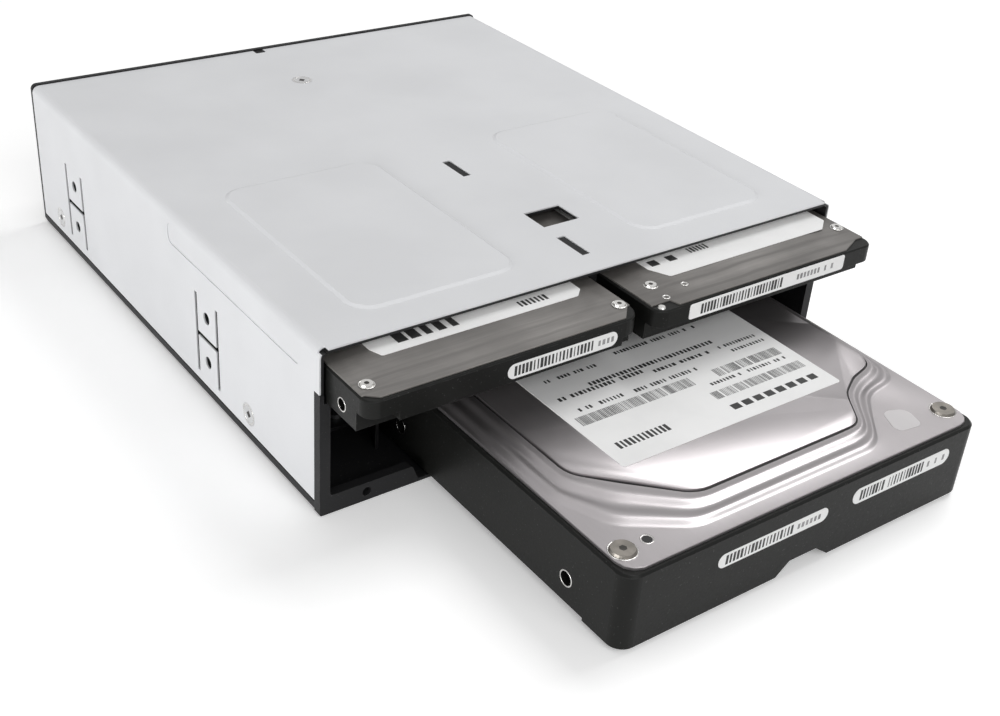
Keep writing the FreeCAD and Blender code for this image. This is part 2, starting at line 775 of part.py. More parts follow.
def make_cover_post():
    """Hexagonal post on the shelf that the cover's top screw goes into."""
    head = top_screw_head()
    corner = post_across / math.sqrt(3)
    points = [Vector(head.x + corner * math.cos(math.radians(60 * i)),
                     head.y + corner * math.sin(math.radians(60 * i)), shelf_top) for i in range(7)]
    post = Part.Face(Part.makePolygon(points)).extrude(Vector(0, 0, cover_underside - shelf_top))
    bore = rod(screw_shank_radius + seat_gap, head - Vector(0, 0, screw_length + 0.6), head)
    return post.cut(bore)


# ---- boards, sockets and ports ----------------------------------------------------------------
def upper_screw_places():
    return [(x, y) for x in (-upper_screw_x, upper_screw_x)
            for y in (at(upper_board_front + board_screw_end_inset),
                      at(upper_board_rear - board_screw_end_inset))]


def backplane_screw_places():
    low = backplane_bottom + backplane_screw_z_inset
    high = backplane_top - backplane_screw_z_inset
    return [(large_centre_x + x, z) for x in (-backplane_screw_x, backplane_screw_x)
            for z in (low, high)]


def port_places():
    """(x, width, underside) of every port that opens through the rear plate."""
    return [(left_data_inset - half_width, data_port_width, upper_board_top),
            (right_data_inset - half_width, data_port_width, upper_board_top),
            (half_width - upper_power_inset, power_port_width, upper_board_top),
            (large_centre_x + large_data_offset, data_port_width, lower_port_z),
            (large_centre_x + lower_power_offset, power_port_width, lower_port_z)]


def make_upper_board():
    board = plate(rectangle(-upper_board_half_width, upper_board_half_width, at(upper_board_front),
                            at(upper_board_rear), board_corner_radius),
                  upper_board_z, upper_board_top)
    tools = [rod(board_screw_radius + seat_gap, Vector(x, y, 0), Vector(x, y, cage_height))
             for x, y in upper_screw_places()]
    tools.append(rod(post_hole_radius, top_screw_head(), top_screw_head() - Vector(0, 0, cage_height)))
    return cut(board, tools)


def make_upper_standoffs():
    return [rod(standoff_radius, Vector(x, y, shelf_top), Vector(x, y, upper_board_z)).cut(
        rod(board_screw_radius + seat_gap, Vector(x, y, 0), Vector(x, y, cage_height)))
        for x, y in upper_screw_places()]


def board_screw(seat, direction, reach):
    """Board screw: the head stands on seat, the shank runs the other way."""
    unit = Vector(direction).normalize()
    head = rod(board_screw_head_radius, seat, seat + unit * board_screw_head_height)
    return fused([head, rod(board_screw_radius, seat - unit * reach, seat)])


def make_upper_board_screws():
    reach = board_thickness + upper_standoff - 0.1
    return [board_screw(Vector(x, y, upper_board_top), Vector(0, 0, 1), reach)
            for x, y in upper_screw_places()]


def make_backplane_board():
    y0 = backplane_front_y
    outline = rectangle(large_centre_x - backplane_half_width, large_centre_x + backplane_half_width,
                        backplane_bottom, backplane_top, board_corner_radius)
    board = front_profile(outline, y0, y0 + board_thickness)
    tools = [rod(board_screw_radius + seat_gap, Vector(x, y0 - 1, z), Vector(x, y0 + 4, z))
             for x, z in backplane_screw_places()]
    x0, x1, z0, z1 = backplane_window
    tools.append(box(large_centre_x + x0, large_centre_x + x1, y0 - 1, y0 + 4, z0, z1))
    return cut(board, tools)


def make_backplane_standoffs():
    back = backplane_front_y + board_thickness
    return [rod(standoff_radius, Vector(x, back, z), Vector(x, plate_front_y, z)).cut(
        rod(board_screw_radius + seat_gap, Vector(x, back - 1, z), Vector(x, rear_y, z)))
        for x, z in backplane_screw_places()]


def make_backplane_screws():
    reach = board_thickness + backplane_gap + rear_plate_sheet - 0.1
    return [board_screw(Vector(x, backplane_front_y, z), Vector(0, -1, 0), reach)
            for x, z in backplane_screw_places()]


def blade_spans(centre_x):
    """X ranges of the data blade and the power blade of one drive connector."""
    whole = data_blade_width + blade_separation + power_blade_width
    left = centre_x - whole / 2
    return [(left, left + data_blade_width), (left + whole - power_blade_width, left + whole)]


def socket(centre_x, tip_y, back_y, z0):
    """Cage-side receptacle: a nose with two blade slots, and a wider base behind it."""
    half = plug_width / 2
    nose = box(centre_x - half, centre_x + half, tip_y, back_y, z0, z0 + plug_height)
    base = box(centre_x - half - socket_shoulder, centre_x + half + socket_shoulder,
               tip_y + plug_depth + 0.6, back_y, z0, z0 + plug_height + 0.6)
    body = fused([nose, base])
    middle = z0 + plug_height / 2
    tools = []
    for x0, x1 in blade_spans(centre_x):
        tools.append(box(x0 - blade_room, x1 + blade_room, tip_y - 1, tip_y + plug_depth + blade_room,
                         middle - plug_slot_height / 2, middle + plug_slot_height / 2))
    return cut(body, tools)


def seated_small_rear():
    return at(small_seat_from_front + small_length)


def seated_large_rear():
    return at(large_seat_from_front + large_length)


def make_small_socket(sign):
    tip = seated_small_rear() - plug_depth
    return socket(sign * small_centre_x - small_plug_offset, tip, tip + small_socket_length,
                  upper_board_top)


def make_large_socket():
    tip = seated_large_rear() - plug_depth
    return socket(large_centre_x - large_plug_offset, tip, backplane_front_y,
                  large_bottom + large_plug_z + slide_gap)


def port(x, width, z, front):
    """Rear port: a shrouded mouth with one contact blade inside."""
    half = width / 2
    body = box(x - half, x + half, front, rear_y, z, z + port_height)
    mid = z + port_height / 2
    mouth = box(x - half + port_wall, x + half - port_wall, rear_y - port_mouth_depth, rear_y + 1,
                mid - port_opening_height / 2, mid + port_opening_height / 2)
    body = body.cut(mouth)
    blade = box(x - half + 2 * port_wall, x + half - 2 * port_wall, rear_y - port_mouth_depth,
                rear_y - port_blade_recess, mid - blade_thickness / 2, mid + blade_thickness / 2)
    return fused([body, blade])


def make_ports(index):
    x, width, z = port_places()[index]
    upper = z > shelf_top
    front = rear_y - port_length if upper else backplane_front_y + board_thickness
    return port(x, width, z, front)


def make_capacitors():
    """Upright electrolytic capacitors on the upper board."""
    cans = []
    for x in capacitor_places:
        foot = Vector(x, at(component_row), upper_board_top)
        can = rod(capacitor_radius, foot, foot + Vector(0, 0, capacitor_height))
        rim = [edge for edge in can.Edges if edge.Closed and edge.CenterOfMass.z > foot.z + 1]
        cans.append(can.makeChamfer(0.4, rim))
    return cans


def make_control_chips():
    bodies = []
    y = at(component_row)
    for x, size in chips:
        chip = box(x - size / 2, x + size / 2, y - size / 2, y + size / 2,
                   upper_board_top, upper_board_top + chip_height)
        rim = [edge for edge in chip.Edges if edge.BoundBox.ZMin > upper_board_top + chip_height / 2]
        bodies.append(chip.makeChamfer(0.2, rim))
    return bodies


# ---- drives -----------------------------------------------------------------------------------
# Each drive is built with its front at y = 0, its middle at x = 0 and its underside at z = 0.
def placed(shape, centre_x, front, bottom):
    moved = shape.copy()
    moved.translate(Vector(centre_x, front, bottom))
    return moved


def large_front():
    return front_y - large_pulled


def large_board_span():
    half = large_width / 2 - large_board_side_inset
    return (-half, half, large_board_front, large_length - large_board_rear_inset)


def motor_centre():
    return Vector(0, motor_front, 0)


def make_large_casting():
    half = large_width / 2
    body = plate([(-half, 0, 3.6), (half, 0, 3.6), (half, large_length, 2.4),
                  (-half, large_length, 2.4)], 0, large_casting_height)
    rim = [edge for edge in body.Edges
           if abs(edge.BoundBox.ZMin - large_casting_height) < 1e-6]
    body = body.makeChamfer(0.5, rim)
    recess_top = large_board_z + board_thickness
    x0, x1, y0, y1 = large_board_span()
    tools = [plate(rectangle(x0 - slide_gap, x1 + slide_gap, y0 - slide_gap, large_length + 1, 1.0),
                   -1, recess_top),
             rod(motor_radius + 0.5, motor_centre() - Vector(0, 0, 1),
                 motor_centre() + Vector(0, 0, recess_top))]
    tools.append(finger_notch())
    for sign in (-1, 1):
        # shallow relief along the lower edge of each side
        a, b = sorted((sign * (half - 2.0), sign * (half + 1)))
        tools.append(box(a, b, 11.0, large_length + 1, -1, 0.7))
        for inset in large_side_hole_insets:
            mouth = Vector(sign * (half + 1), large_length - inset, large_side_hole_z)
            tools.append(rod(drive_screw_bore, mouth, mouth - Vector(sign * 5, 0, 0)))
        for inset in large_bottom_hole_insets:
            mouth = Vector(sign * large_bottom_hole_spread / 2, large_length - inset, -1)
            tools.append(rod(drive_screw_bore, mouth, mouth + Vector(0, 0, 5)))
    tools.append(plug_room(-large_plug_offset, large_length, large_plug_z, large_plug_housing))
    for x, y in large_screw_places():
        top = Vector(x, y, large_casting_height)
        tools.append(rod(1.3, top - Vector(0, 0, 3.4), top + Vector(0, 0, 1)))
    return cut(body, tools)


def finger_notch():
    """Notch under the middle of the large drive's front end, wider below than above."""
    notch = [(-9.8, -1, 0), (8.0, -1, 0), (2.6, 3.0, 0.6), (-5.2, 3.0, 0.6)]
    return front_profile(notch, -1, finger_notch_depth)


def plug_room(centre_x, rear, z, depth):
    """Pocket in a drive's rear end that holds its connector housing."""
    half = plug_width / 2 + plug_end_wall
    return box(centre_x - half, centre_x + half, rear - depth, rear + 1, z - plug_wall,
               z + plug_height + 2 * slide_gap + plug_wall)


def drive_connector(centre_x, rear, z, depth):
    """Drive-side connector: a housing round a hollow with two contact blades."""
    half = plug_width / 2 + plug_end_wall
    hollow_half = plug_width / 2 + slide_gap
    height = plug_height + 2 * slide_gap
    housing = box(centre_x - half, centre_x + half, rear - depth, rear, z - plug_wall,
                  z + height + plug_wall)
    hollow = box(centre_x - hollow_half, centre_x + hollow_half, rear - plug_depth - 0.6, rear + 1,
                 z, z + height)
    middle = z + height / 2
    blades = []
    for x0, x1 in blade_spans(centre_x):
        blades.append(box(x0, x1, rear - plug_depth - 0.6, rear - 0.9,
                          middle - blade_thickness / 2, middle + blade_thickness / 2))
    return fused([housing.cut(hollow)] + blades)


def large_screw_places():
    x = large_width / 2 - large_screw_inset_x
    return [(side * x, y) for side in (-1, 1)
            for y in (large_screw_inset_y, large_length - large_screw_inset_y)]


def large_ridge_outline():
    """Outer stamped step: clear of the four screw corners, S-shaped beside the front right one."""
    left = -large_width / 2
    right = large_width / 2
    rear = large_length - 4.0
    return [(left + 1.9, 25.0, 7), (left + 7.0, 13.0, 9), (left + 21.0, 4.2, 10),
            (right - 28.0, 4.2, 9), (right - 20.0, 13.2, 8), (right - 14.2, 19.2, 9),
            (right - 2.2, 20.8, 6), (right - 2.2, rear - 16.0, 6), (right - 16.0, rear, 8),
            (left + 16.0, rear, 8), (left + 1.9, rear - 16.0, 6)]


def large_plateau_outline():
    """Inner plateau, wide of the left and front bands and close to the right edge."""
    left = -large_width / 2
    right = large_width / 2
    rear = large_length - 12.0
    return [(left + 9.6, 30.5, 7), (left + 28.0, 12.2, 8), (right - 26.2, 12.2, 5),
            (right - 19.6, 22.0, 9), (right - 13.0, 25.8, 7), (right - 4.0, 28.2, 5),
            (right - 4.0, rear - 14.0, 6), (right - 16.0, rear, 8),
            (left + 22.0, rear, 8), (left + 9.6, rear - 14.0, 6)]


def make_large_cover():
    """Stamped cover: flange, ridge and plateau in two steps."""
    half = large_width / 2
    inset = 1.1
    flange_top = large_casting_height + cover_sheet_of_drive
    ridge_top = flange_top + large_ridge_rise
    plateau_top = large_height - label_thickness
    flange = plate(rectangle(-half + inset, half - inset, inset, large_length - inset, 4.2),
                   large_casting_height, flange_top)
    ridge = stepped(large_ridge_outline(), flange_top, ridge_top, 0.45)
    plateau = stepped(large_plateau_outline(), ridge_top, plateau_top, 0.4)
    tools = [rod(1.3, Vector(x, y, large_casting_height - 1), Vector(x, y, flange_top + 1))
             for x, y in large_screw_places()]
    tools.append(rod(1.4, Vector(-half + 10.4, 7.0, flange_top - 0.4),
                     Vector(-half + 10.4, 7.0, flange_top + 1)))
    return cut(fused([flange, ridge, plateau]), tools)


def cover_screw(x, y, seat, head_radius, head_height, shank_radius, reach):
    """Flat-topped screw with a bevelled rim."""
    head = rod(head_radius, Vector(x, y, seat), Vector(x, y, seat + head_height))
    rim = [edge for edge in head.Edges if edge.Closed and edge.CenterOfMass.z > seat + 1e-4]
    head = head.makeChamfer(head_height * 0.3, rim)
    return fused([head, rod(shank_radius, Vector(x, y, seat - reach), Vector(x, y, seat))])


def make_large_cover_screws():
    seat = large_casting_height + cover_sheet_of_drive
    return [cover_screw(x, y, seat, 3.1, 1.1, 1.2, 3.2) for x, y in large_screw_places()]


def make_large_label():
    half = large_width / 2
    outline = rectangle(-half + large_label_left, half - large_label_right_inset,
                        large_label_front, large_length - large_label_rear_inset, 0.8)
    return plate(outline, large_height - label_thickness, large_height)


def end_label(x0, x1, z0, z1):
    """Thin label on a drive's front face with round ends."""
    radius = (z1 - z0) / 2 * 0.98
    return front_profile([(x0, z0, radius), (x1, z0, radius), (x1, z1, radius), (x0, z1, radius)],
                         -label_thickness, 0)


def make_large_end_labels():
    left = -large_width / 2
    return [end_label(left + x0, left + x1, z0, z1) for x0, x1, z0, z1 in large_end_label_spans]


def large_board_screw_places():
    x = large_width / 2 - large_board_side_inset - large_board_screw_inset
    y0, y1 = large_board_span()[2:]
    front_inset, rear_inset = large_board_screw_end_insets
    return [(side * x, y) for side in (-1, 1) for y in (y0 + front_inset, y1 - rear_inset)]


def make_large_board():
    x0, x1, y0, y1 = large_board_span()
    board = plate(rectangle(x0, x1, y0, y1, 2.0), large_board_z, large_board_z + board_thickness)
    half = plug_width / 2 + plug_end_wall + edge_gap
    tools = [rod(motor_radius + 0.5, motor_centre() - Vector(0, 0, 1), motor_centre() + Vector(0, 0, 5)),
             box(-large_plug_offset - half, -large_plug_offset + half,
                 large_length - large_plug_housing - edge_gap, large_length + 1, -1, 5)]
    tools += [rod(1.1, Vector(x, y, -1), Vector(x, y, 5)) for x, y in large_board_screw_places()]
    return cut(board, tools)


def board_fixing(x, y, seat_z, head_radius, head_height, shank_radius, sheet):
    """Screw under a drive's board, its head below the board."""
    seat = Vector(x, y, seat_z)
    return fused([rod(head_radius, seat - Vector(0, 0, head_height), seat),
                  rod(shank_radius, seat, seat + Vector(0, 0, sheet))])


def make_large_board_screws():
    return [board_fixing(x, y, large_board_z, 1.9, 0.8, 1.0, board_thickness)
            for x, y in large_board_screw_places()]


def make_large_motor():
    """Spindle motor base, seen in its hole in the underside."""
    foot = motor_centre()
    base = rod(motor_radius, foot + Vector(0, 0, 0.9),
               foot + Vector(0, 0, large_board_z + board_thickness))
    rim = [edge for edge in base.Edges if edge.Closed and edge.CenterOfMass.z < 1.0]
    ring_top = foot + Vector(0, 0, 1.4)
    ring = rod(motor_radius * 0.65, foot, ring_top).cut(rod(motor_radius * 0.5, foot, ring_top))
    return base.makeChamfer(0.4, rim).cut(ring)


def make_large_connector():
    return drive_connector(-large_plug_offset, large_length, large_plug_z, large_plug_housing)


def small_board_span():
    half = small_width / 2 - small_board_side_inset
    return (-half, half, small_board_front, small_length - small_board_rear_inset)


def small_motor_hole(top):
    foot = Vector(0, small_motor_front, -1)
    return rod(small_motor_radius, foot, Vector(0, small_motor_front, top))


def small_screw_places(drive):
    left_inset, right_inset = drive["screw_insets"]
    half = small_width / 2
    return [(x, y) for x in (left_inset - half, half - right_inset)
            for y in (drive["screw_front"], small_length - small_rear_screw_inset)]


def make_small_casting(drive):
    half = small_width / 2
    left_radius, right_radius = drive["corner_radii"]
    body = plate([(-half, 0, left_radius), (half, 0, right_radius), (half, small_length, 2.0),
                  (-half, small_length, 2.0)], 0, small_casting_height)
    rim = [edge for edge in body.Edges
           if abs(edge.BoundBox.ZMin - small_casting_height) < 1e-6]
    body = body.makeChamfer(0.35, rim)
    x0, x1, y0, y1 = small_board_span()
    recess_top = small_board_z + small_board_thickness
    tools = [plate(rectangle(x0 - slide_gap, x1 + slide_gap, y0 - slide_gap, small_length + 1, 1.0),
                   -1, recess_top),
             small_motor_hole(recess_top),
             plug_room(-small_plug_offset, small_length, small_plug_z, small_plug_housing)]
    # the underside of the front end is lifted, in spans from the left edge
    for x0, x1, height in drive["front_lifts"]:
        tools.append(box(x0 - half, x1 - half, -1, small_front_reach, -1, height))
    for sign in (-1, 1):
        for inset in small_side_hole_insets:
            mouth = Vector(sign * (half + 1), small_length - inset, small_side_hole_z)
            tools.append(rod(small_side_bore, mouth, mouth - Vector(sign * 4, 0, 0)))
    for x, y in small_screw_places(drive):
        tools.append(rod(1.0, Vector(x, y, small_casting_height - 2.8),
                         Vector(x, y, small_casting_height + 1)))
    return cut(body, tools)


def small_cover_outline(drive):
    """Cover outline whose front corners are cut back to bare the casting."""
    half = small_width / 2 - 0.4
    front = 0.7
    rear = small_length - 3.0
    turn = 0.3
    left, right = drive["cover_corners"]
    outline = []
    for sign, (width, depth, slant) in ((-1, left), (1, right)):
        points = [(sign * half, front + depth, turn), (sign * (half - width), front + depth, turn),
                  (sign * (half - width - slant), front, turn)]
        outline += points[::-sign]
    return outline + [(half, rear, 2.5), (-half, rear, 2.5)]


def small_step_outline(side_inset, front, rear_inset):
    """Stamped step with slanting front corners."""
    half = small_width / 2 - side_inset
    rear = small_length - rear_inset
    return [(-half, front + 5.6, 4), (-half + 6.0, front, 4), (half - 6.0, front, 4),
            (half, front + 5.6, 4), (half, rear, 4), (-half, rear, 4)]


def make_small_cover(drive):
    """Stamped cover: flange, two low steps near the front and a wide plateau."""
    z0 = small_casting_height
    flange_top = z0 + small_flange
    plateau_top = small_height - label_thickness
    middle_top = (flange_top + plateau_top) / 2
    front = drive["step_front"]
    flange = plate(small_cover_outline(drive), z0, flange_top)
    step = stepped(small_step_outline(3.4, front, 6.0), flange_top, middle_top, 0.25)
    plateau = stepped(small_step_outline(5.0, front + 3.0, 9.0), middle_top, plateau_top, 0.25)
    tools = []
    for x, y in small_screw_places(drive):
        tools.append(rod(1.0, Vector(x, y, z0 - 1), Vector(x, y, z0 + 2)))
        tools.append(rod(2.2, Vector(x, y, flange_top), Vector(x, y, z0 + 2)))
    return cut(fused([flange, step, plateau]), tools)


def make_small_cover_screws(drive):
    seat = small_casting_height + small_flange
    return [cover_screw(x, y, seat, 1.9, 0.6, 0.9, 2.6) for x, y in small_screw_places(drive)]


def make_small_label(drive):
    x0 = drive["label_insets"][0] - small_width / 2
    x1 = small_width / 2 - drive["label_insets"][1]
    front = drive["label_front"]
    left_slant, right_slant = drive["label_slants"]
    rear = small_length - small_label_rear_inset
    outline = [(x0, front + left_slant[1], 0.8), (x0 + left_slant[0], front, 0.8),
               (x1 - right_slant[0], front, 0.8), (x1, front + right_slant[1], 0.8),
               (x1, rear, 1), (x0, rear, 1)]
    return plate(outline, small_height - label_thickness, small_height)


def small_board_screw_places():
    x = small_width / 2 - small_board_side_inset - small_board_screw_inset
    y0, y1 = small_board_span()[2:]
    front_inset, rear_inset = small_board_screw_end_insets
    return [(side * x, y) for side in (-1, 1) for y in (y0 + front_inset, y1 - rear_inset)]


def make_small_board():
    x0, x1, y0, y1 = small_board_span()
    board = plate(rectangle(x0, x1, y0, y1, 1.5), small_board_z, small_board_z + small_board_thickness)
    tools = [rod(0.9, Vector(x, y, -1), Vector(x, y, 5)) for x, y in small_board_screw_places()]
    return cut(board, tools + [small_motor_hole(5)])


def make_small_board_screws():
    return [board_fixing(x, y, small_board_z, 1.6, 0.5, 0.8, small_board_thickness)
            for x, y in small_board_screw_places()]


def make_small_connector():
    return drive_connector(-small_plug_offset, small_length, small_plug_z, small_plug_housing)


# ---- node table -------------------------------------------------------------------------------
def cage_nodes():
    return {
        "top_cover": make_top_cover(),
        "base_tray": make_base_tray(),
        "front_frame": make_front_frame(),
        "rear_plate": make_rear_plate(),
        "drive_shelf": make_drive_shelf(),
        "shelf_rivets": make_shelf_rivets(),
        "bay_divider": make_bay_divider(),
        "large_bay_guide_left": make_large_guide(-1),
        "large_bay_guide_right": make_large_guide(1),
        "guide_rivets": make_guide_rivets(),
        "large_bay_spring_left": make_large_spring(-1),
        "large_bay_spring_right": make_large_spring(1),
        "small_bay_spring_left": make_small_spring(-1),
        "small_bay_spring_right": make_small_spring(1),
        "cover_side_screws": make_side_screws(),
        "cover_top_screw": make_top_screw(),
        "cover_post": make_cover_post(),
        "upper_board": make_upper_board(),
        "upper_board_standoffs": make_upper_standoffs(),
        "upper_board_screws": make_upper_board_screws(),
        "small_drive_socket_left": make_small_socket(-1),
        "small_drive_socket_right": make_small_socket(1),
        "data_port_left": make_ports(0),
        "data_port_right": make_ports(1),
        "upper_power_port": make_ports(2),
        "capacitors": make_capacitors(),
        "control_chips": make_control_chips(),
        "backplane_board": make_backplane_board(),
        "backplane_standoffs": make_backplane_standoffs(),
        "backplane_screws": make_backplane_screws(),
        "large_drive_socket": make_large_socket(),
        "large_data_port": make_ports(3),
        "lower_power_port": make_ports(4),
    }


def large_drive_nodes():
    parts = {
        "casting": make_large_casting(),
        "cover": make_large_cover(),
        "cover_screws": make_large_cover_screws(),
        "label": make_large_label(),
        "end_labels": make_large_end_labels(),
        "board": make_large_board(),
        "board_screws": make_large_board_screws(),
        "motor": make_large_motor(),
        "connector": make_large_connector(),
    }
    return {"large_drive_" + name: placed(group(shape), large_centre_x, large_front(), large_bottom)
            for name, shape in parts.items()}


def small_drive_nodes(side, sign, pulled, drive):
    left = -small_width / 2
    x0, x1, z0, z1 = drive["end_label"]
    parts = {
        "casting": make_small_casting(drive),
        "cover": make_small_cover(drive),
        "cover_screws": make_small_cover_screws(drive),
        "label": make_small_label(drive),
        "end_label": end_label(left + x0, left + x1, z0, z1),
        "board": make_small_board(),
        "board_screws": make_small_board_screws(),
        "connector": make_small_connector(),
    }
    return {side + "_drive_" + name: placed(group(shape), sign * small_centre_x, front_y - pulled,
                                            small_bottom) for name, shape in parts.items()}


def group(shape):
    """One shape for a node: a single solid as it is, several as a compound."""
    return Part.makeCompound(shape) if isinstance(shape, list) else shape


def build():
    nodes = cage_nodes()
    nodes.update(large_drive_nodes())
    nodes.update(small_drive_nodes("left", -1, left_pulled, left_drive))
    nodes.update(small_drive_nodes("right", 1, right_pulled, right_drive))
    os.makedirs("parts", exist_ok=True)
    for name, shape in nodes.items():
        group(shape).exportStep("parts/" + name + ".step")
    return nodes


build()
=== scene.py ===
"""Finishes of the hot swap drive cage: coated sheet, stamped drive covers, labels, boards and contacts.

Lengths are written in millimetres and turned into metres by MM. The cage and the three drives
stand where the frame puts them, and every place below is measured from a frame box. A look is a
piece's body, material slot and material.
"""
import json
import math
from collections import namedtuple

import bmesh
import bpy
from mathutils import Matrix, Vector


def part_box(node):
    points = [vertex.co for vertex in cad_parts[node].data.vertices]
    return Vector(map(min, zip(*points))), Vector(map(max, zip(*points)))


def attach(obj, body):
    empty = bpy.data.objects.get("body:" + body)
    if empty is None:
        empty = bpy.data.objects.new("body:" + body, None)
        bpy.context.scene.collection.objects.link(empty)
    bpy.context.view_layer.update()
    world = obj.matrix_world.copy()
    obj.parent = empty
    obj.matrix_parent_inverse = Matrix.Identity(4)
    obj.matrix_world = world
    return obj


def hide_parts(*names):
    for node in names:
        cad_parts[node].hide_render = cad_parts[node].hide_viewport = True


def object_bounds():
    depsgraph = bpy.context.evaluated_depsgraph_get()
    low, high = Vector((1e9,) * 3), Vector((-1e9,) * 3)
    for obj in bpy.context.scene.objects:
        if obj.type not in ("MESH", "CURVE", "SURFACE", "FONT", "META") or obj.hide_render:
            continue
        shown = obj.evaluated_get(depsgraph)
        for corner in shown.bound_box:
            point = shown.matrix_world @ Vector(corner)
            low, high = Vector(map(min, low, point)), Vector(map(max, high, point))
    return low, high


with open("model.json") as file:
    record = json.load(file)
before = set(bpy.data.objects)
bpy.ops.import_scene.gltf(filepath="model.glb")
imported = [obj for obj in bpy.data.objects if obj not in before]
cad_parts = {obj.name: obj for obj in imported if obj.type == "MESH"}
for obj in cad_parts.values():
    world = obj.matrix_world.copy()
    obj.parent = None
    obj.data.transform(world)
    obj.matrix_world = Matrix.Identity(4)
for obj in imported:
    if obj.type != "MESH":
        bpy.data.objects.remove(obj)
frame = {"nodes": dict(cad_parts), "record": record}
cad_low, cad_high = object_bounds()

MM = 0.001
SLOT_OF_NODE = {part["node"]: part["material_slot"] for part in frame["record"]["subparts"]}
UP = (0, 0, 1)

# ---- sizes that several pieces share, in millimetres ----
COVER_BEND = 1.9  # outer bend radius of the cage's cover
PANEL_RISE = 0.4  # height of the pressed panels over the cover's top
SKIN_EDGE = 0.3  # how far the grey coat wraps over the cover's cut edges before the painted shade starts
LARGE_RIM = 0.7  # height of the 3.5 inch cover's flat rim over its underside
SMALL_RIM = 0.35  # the same of the 2.5 inch covers
LARGE_LENGTH = 147.0  # length of the 3.5 inch drive
LABEL_SHEET = 0.07  # stock of the labels on the drives' front faces
PRINT_SHEET = 0.04  # half of it is sunk in the label
CONTACT_PITCH = 1.27
CONTACT_SHEET = 0.08
HEAD_TAPER = 0.9  # top radius over bottom radius
RIM_STOCK = 0.3  # width of a bright ring or rim: a painted highlight, or bright metal round a hole
RIM_GAP = 0.16  # from a bore or a head to the middle of its rim


# ---- small helpers ----
def box_of(node):
    """Low and high corner of a frame node, in millimetres."""
    low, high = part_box(node)
    return Vector(low) / MM, Vector(high) / MM


def levels_of(node):
    """Heights of a frame node's underside and top, in millimetres."""
    low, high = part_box(node)
    return low[2] / MM, high[2] / MM


def drive_box(drive):
    """Left front lower corner and size of a drive's casting, in millimetres."""
    low, high = (Vector(corner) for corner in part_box(drive + "_drive_casting"))
    return low / MM, (high - low) / MM


def piece_from(name, verts, faces, look, smooth_angle):
    """Piece in metres from millimetre points, riding on its look's body."""
    body, slot, material = look
    mesh = bpy.data.meshes.new(name)
    mesh.from_pydata([Vector(v) * MM for v in verts], [], faces)
    mesh.validate()
    obj = bpy.data.objects.new(name, mesh)
    bpy.context.collection.objects.link(obj)
    finish_mesh(mesh, smooth_angle)
    mesh.materials.append(material)
    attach(obj, body)
    return obj


def finish_mesh(mesh, smooth_angle):
    """Merged, outward faces; soft shading below an angle in degrees."""
    work = bmesh.new()
    work.from_mesh(mesh)
    bmesh.ops.remove_doubles(work, verts=work.verts, dist=1e-7)
    bmesh.ops.recalc_face_normals(work, faces=work.faces)
    for face in work.faces:
        face.smooth = True
    for edge in work.edges:
        edge.smooth = edge.is_manifold and edge.calc_face_angle(0) < math.radians(smooth_angle)
    work.to_mesh(mesh)
    work.free()


# ---- node helpers ----
def rgba(value):
    """Colour from a grey level or three levels; a socket stays as it is."""
    if isinstance(value, float):
        return (value, value, value, 1.0)
    return (*value, 1.0) if isinstance(value, tuple) else value


def spaced(values):
    """Keyword names turned into socket names."""
    return {key.replace("_", " "): value for key, value in values.items()}


class Shading:
    """A node tree with short calls for making and linking its nodes."""

    def __init__(self, tree):
        self.tree = tree

    def feed(self, node, values):
        """Sets or links a node's inputs, each given by its name or number."""
        for key, value in values.items():
            if isinstance(value, bpy.types.NodeSocket):
                self.tree.links.new(value, node.inputs[key])
            else:
                node.inputs[key].default_value = value
        return node

    def node(self, kind, values=None, **settings):
        made = self.tree.nodes.new(kind)
        for key, value in settings.items():
            setattr(made, key, value)
        return self.feed(made, values or {})

    def maths(self, operation, *values, clamp=False):
        return self.node("ShaderNodeMath", dict(enumerate(values)), operation=operation,
            use_clamp=clamp).outputs[0]

    def product(self, first, second):
        return self.maths("MULTIPLY", first, second)

    def total(self, first, second):
        return self.maths("ADD", first, second)

    def measured(self, operation, *vectors):
        """Number that a vector operation gives."""
        return self.node("ShaderNodeVectorMath", dict(enumerate(vectors)),
            operation=operation).outputs["Value"]

    def parts(self, vector):
        return self.node("ShaderNodeSeparateXYZ", {0: vector}).outputs

    def spread(self, value, low, high, to_low=0.0, to_high=1.0):
        items = (value, low, high, to_low, to_high)
        return self.node("ShaderNodeMapRange", dict(enumerate(items)), clamp=True).outputs[0]

    def blend(self, factor, first, second):
        values = {"Factor": factor, 6: rgba(first), 7: rgba(second)}
        return self.node("ShaderNodeMix", values, data_type="RGBA").outputs[2]

    def noise(self, vector, scale, detail=2.0, roughness=0.5):
        values = {"Vector": vector, "Scale": scale, "Detail": detail, "Roughness": roughness}
        return self.node("ShaderNodeTexNoise", values).outputs["Fac"]

    def place(self, scale=(1, 1, 1)):
        """Object coordinates, stretched."""
        found = self.node("ShaderNodeTexCoord").outputs["Object"]
        return self.node("ShaderNodeMapping", {"Scale": scale, "Vector": found}).outputs["Vector"]

    def group(self, tree, **values):
        return self.node("ShaderNodeGroup", spaced(values), node_tree=tree).outputs

    def attribute(self, name, kind):
        return self.node("GeometryNodeInputNamedAttribute", {"Name": name},
            data_type=kind).outputs["Attribute"]


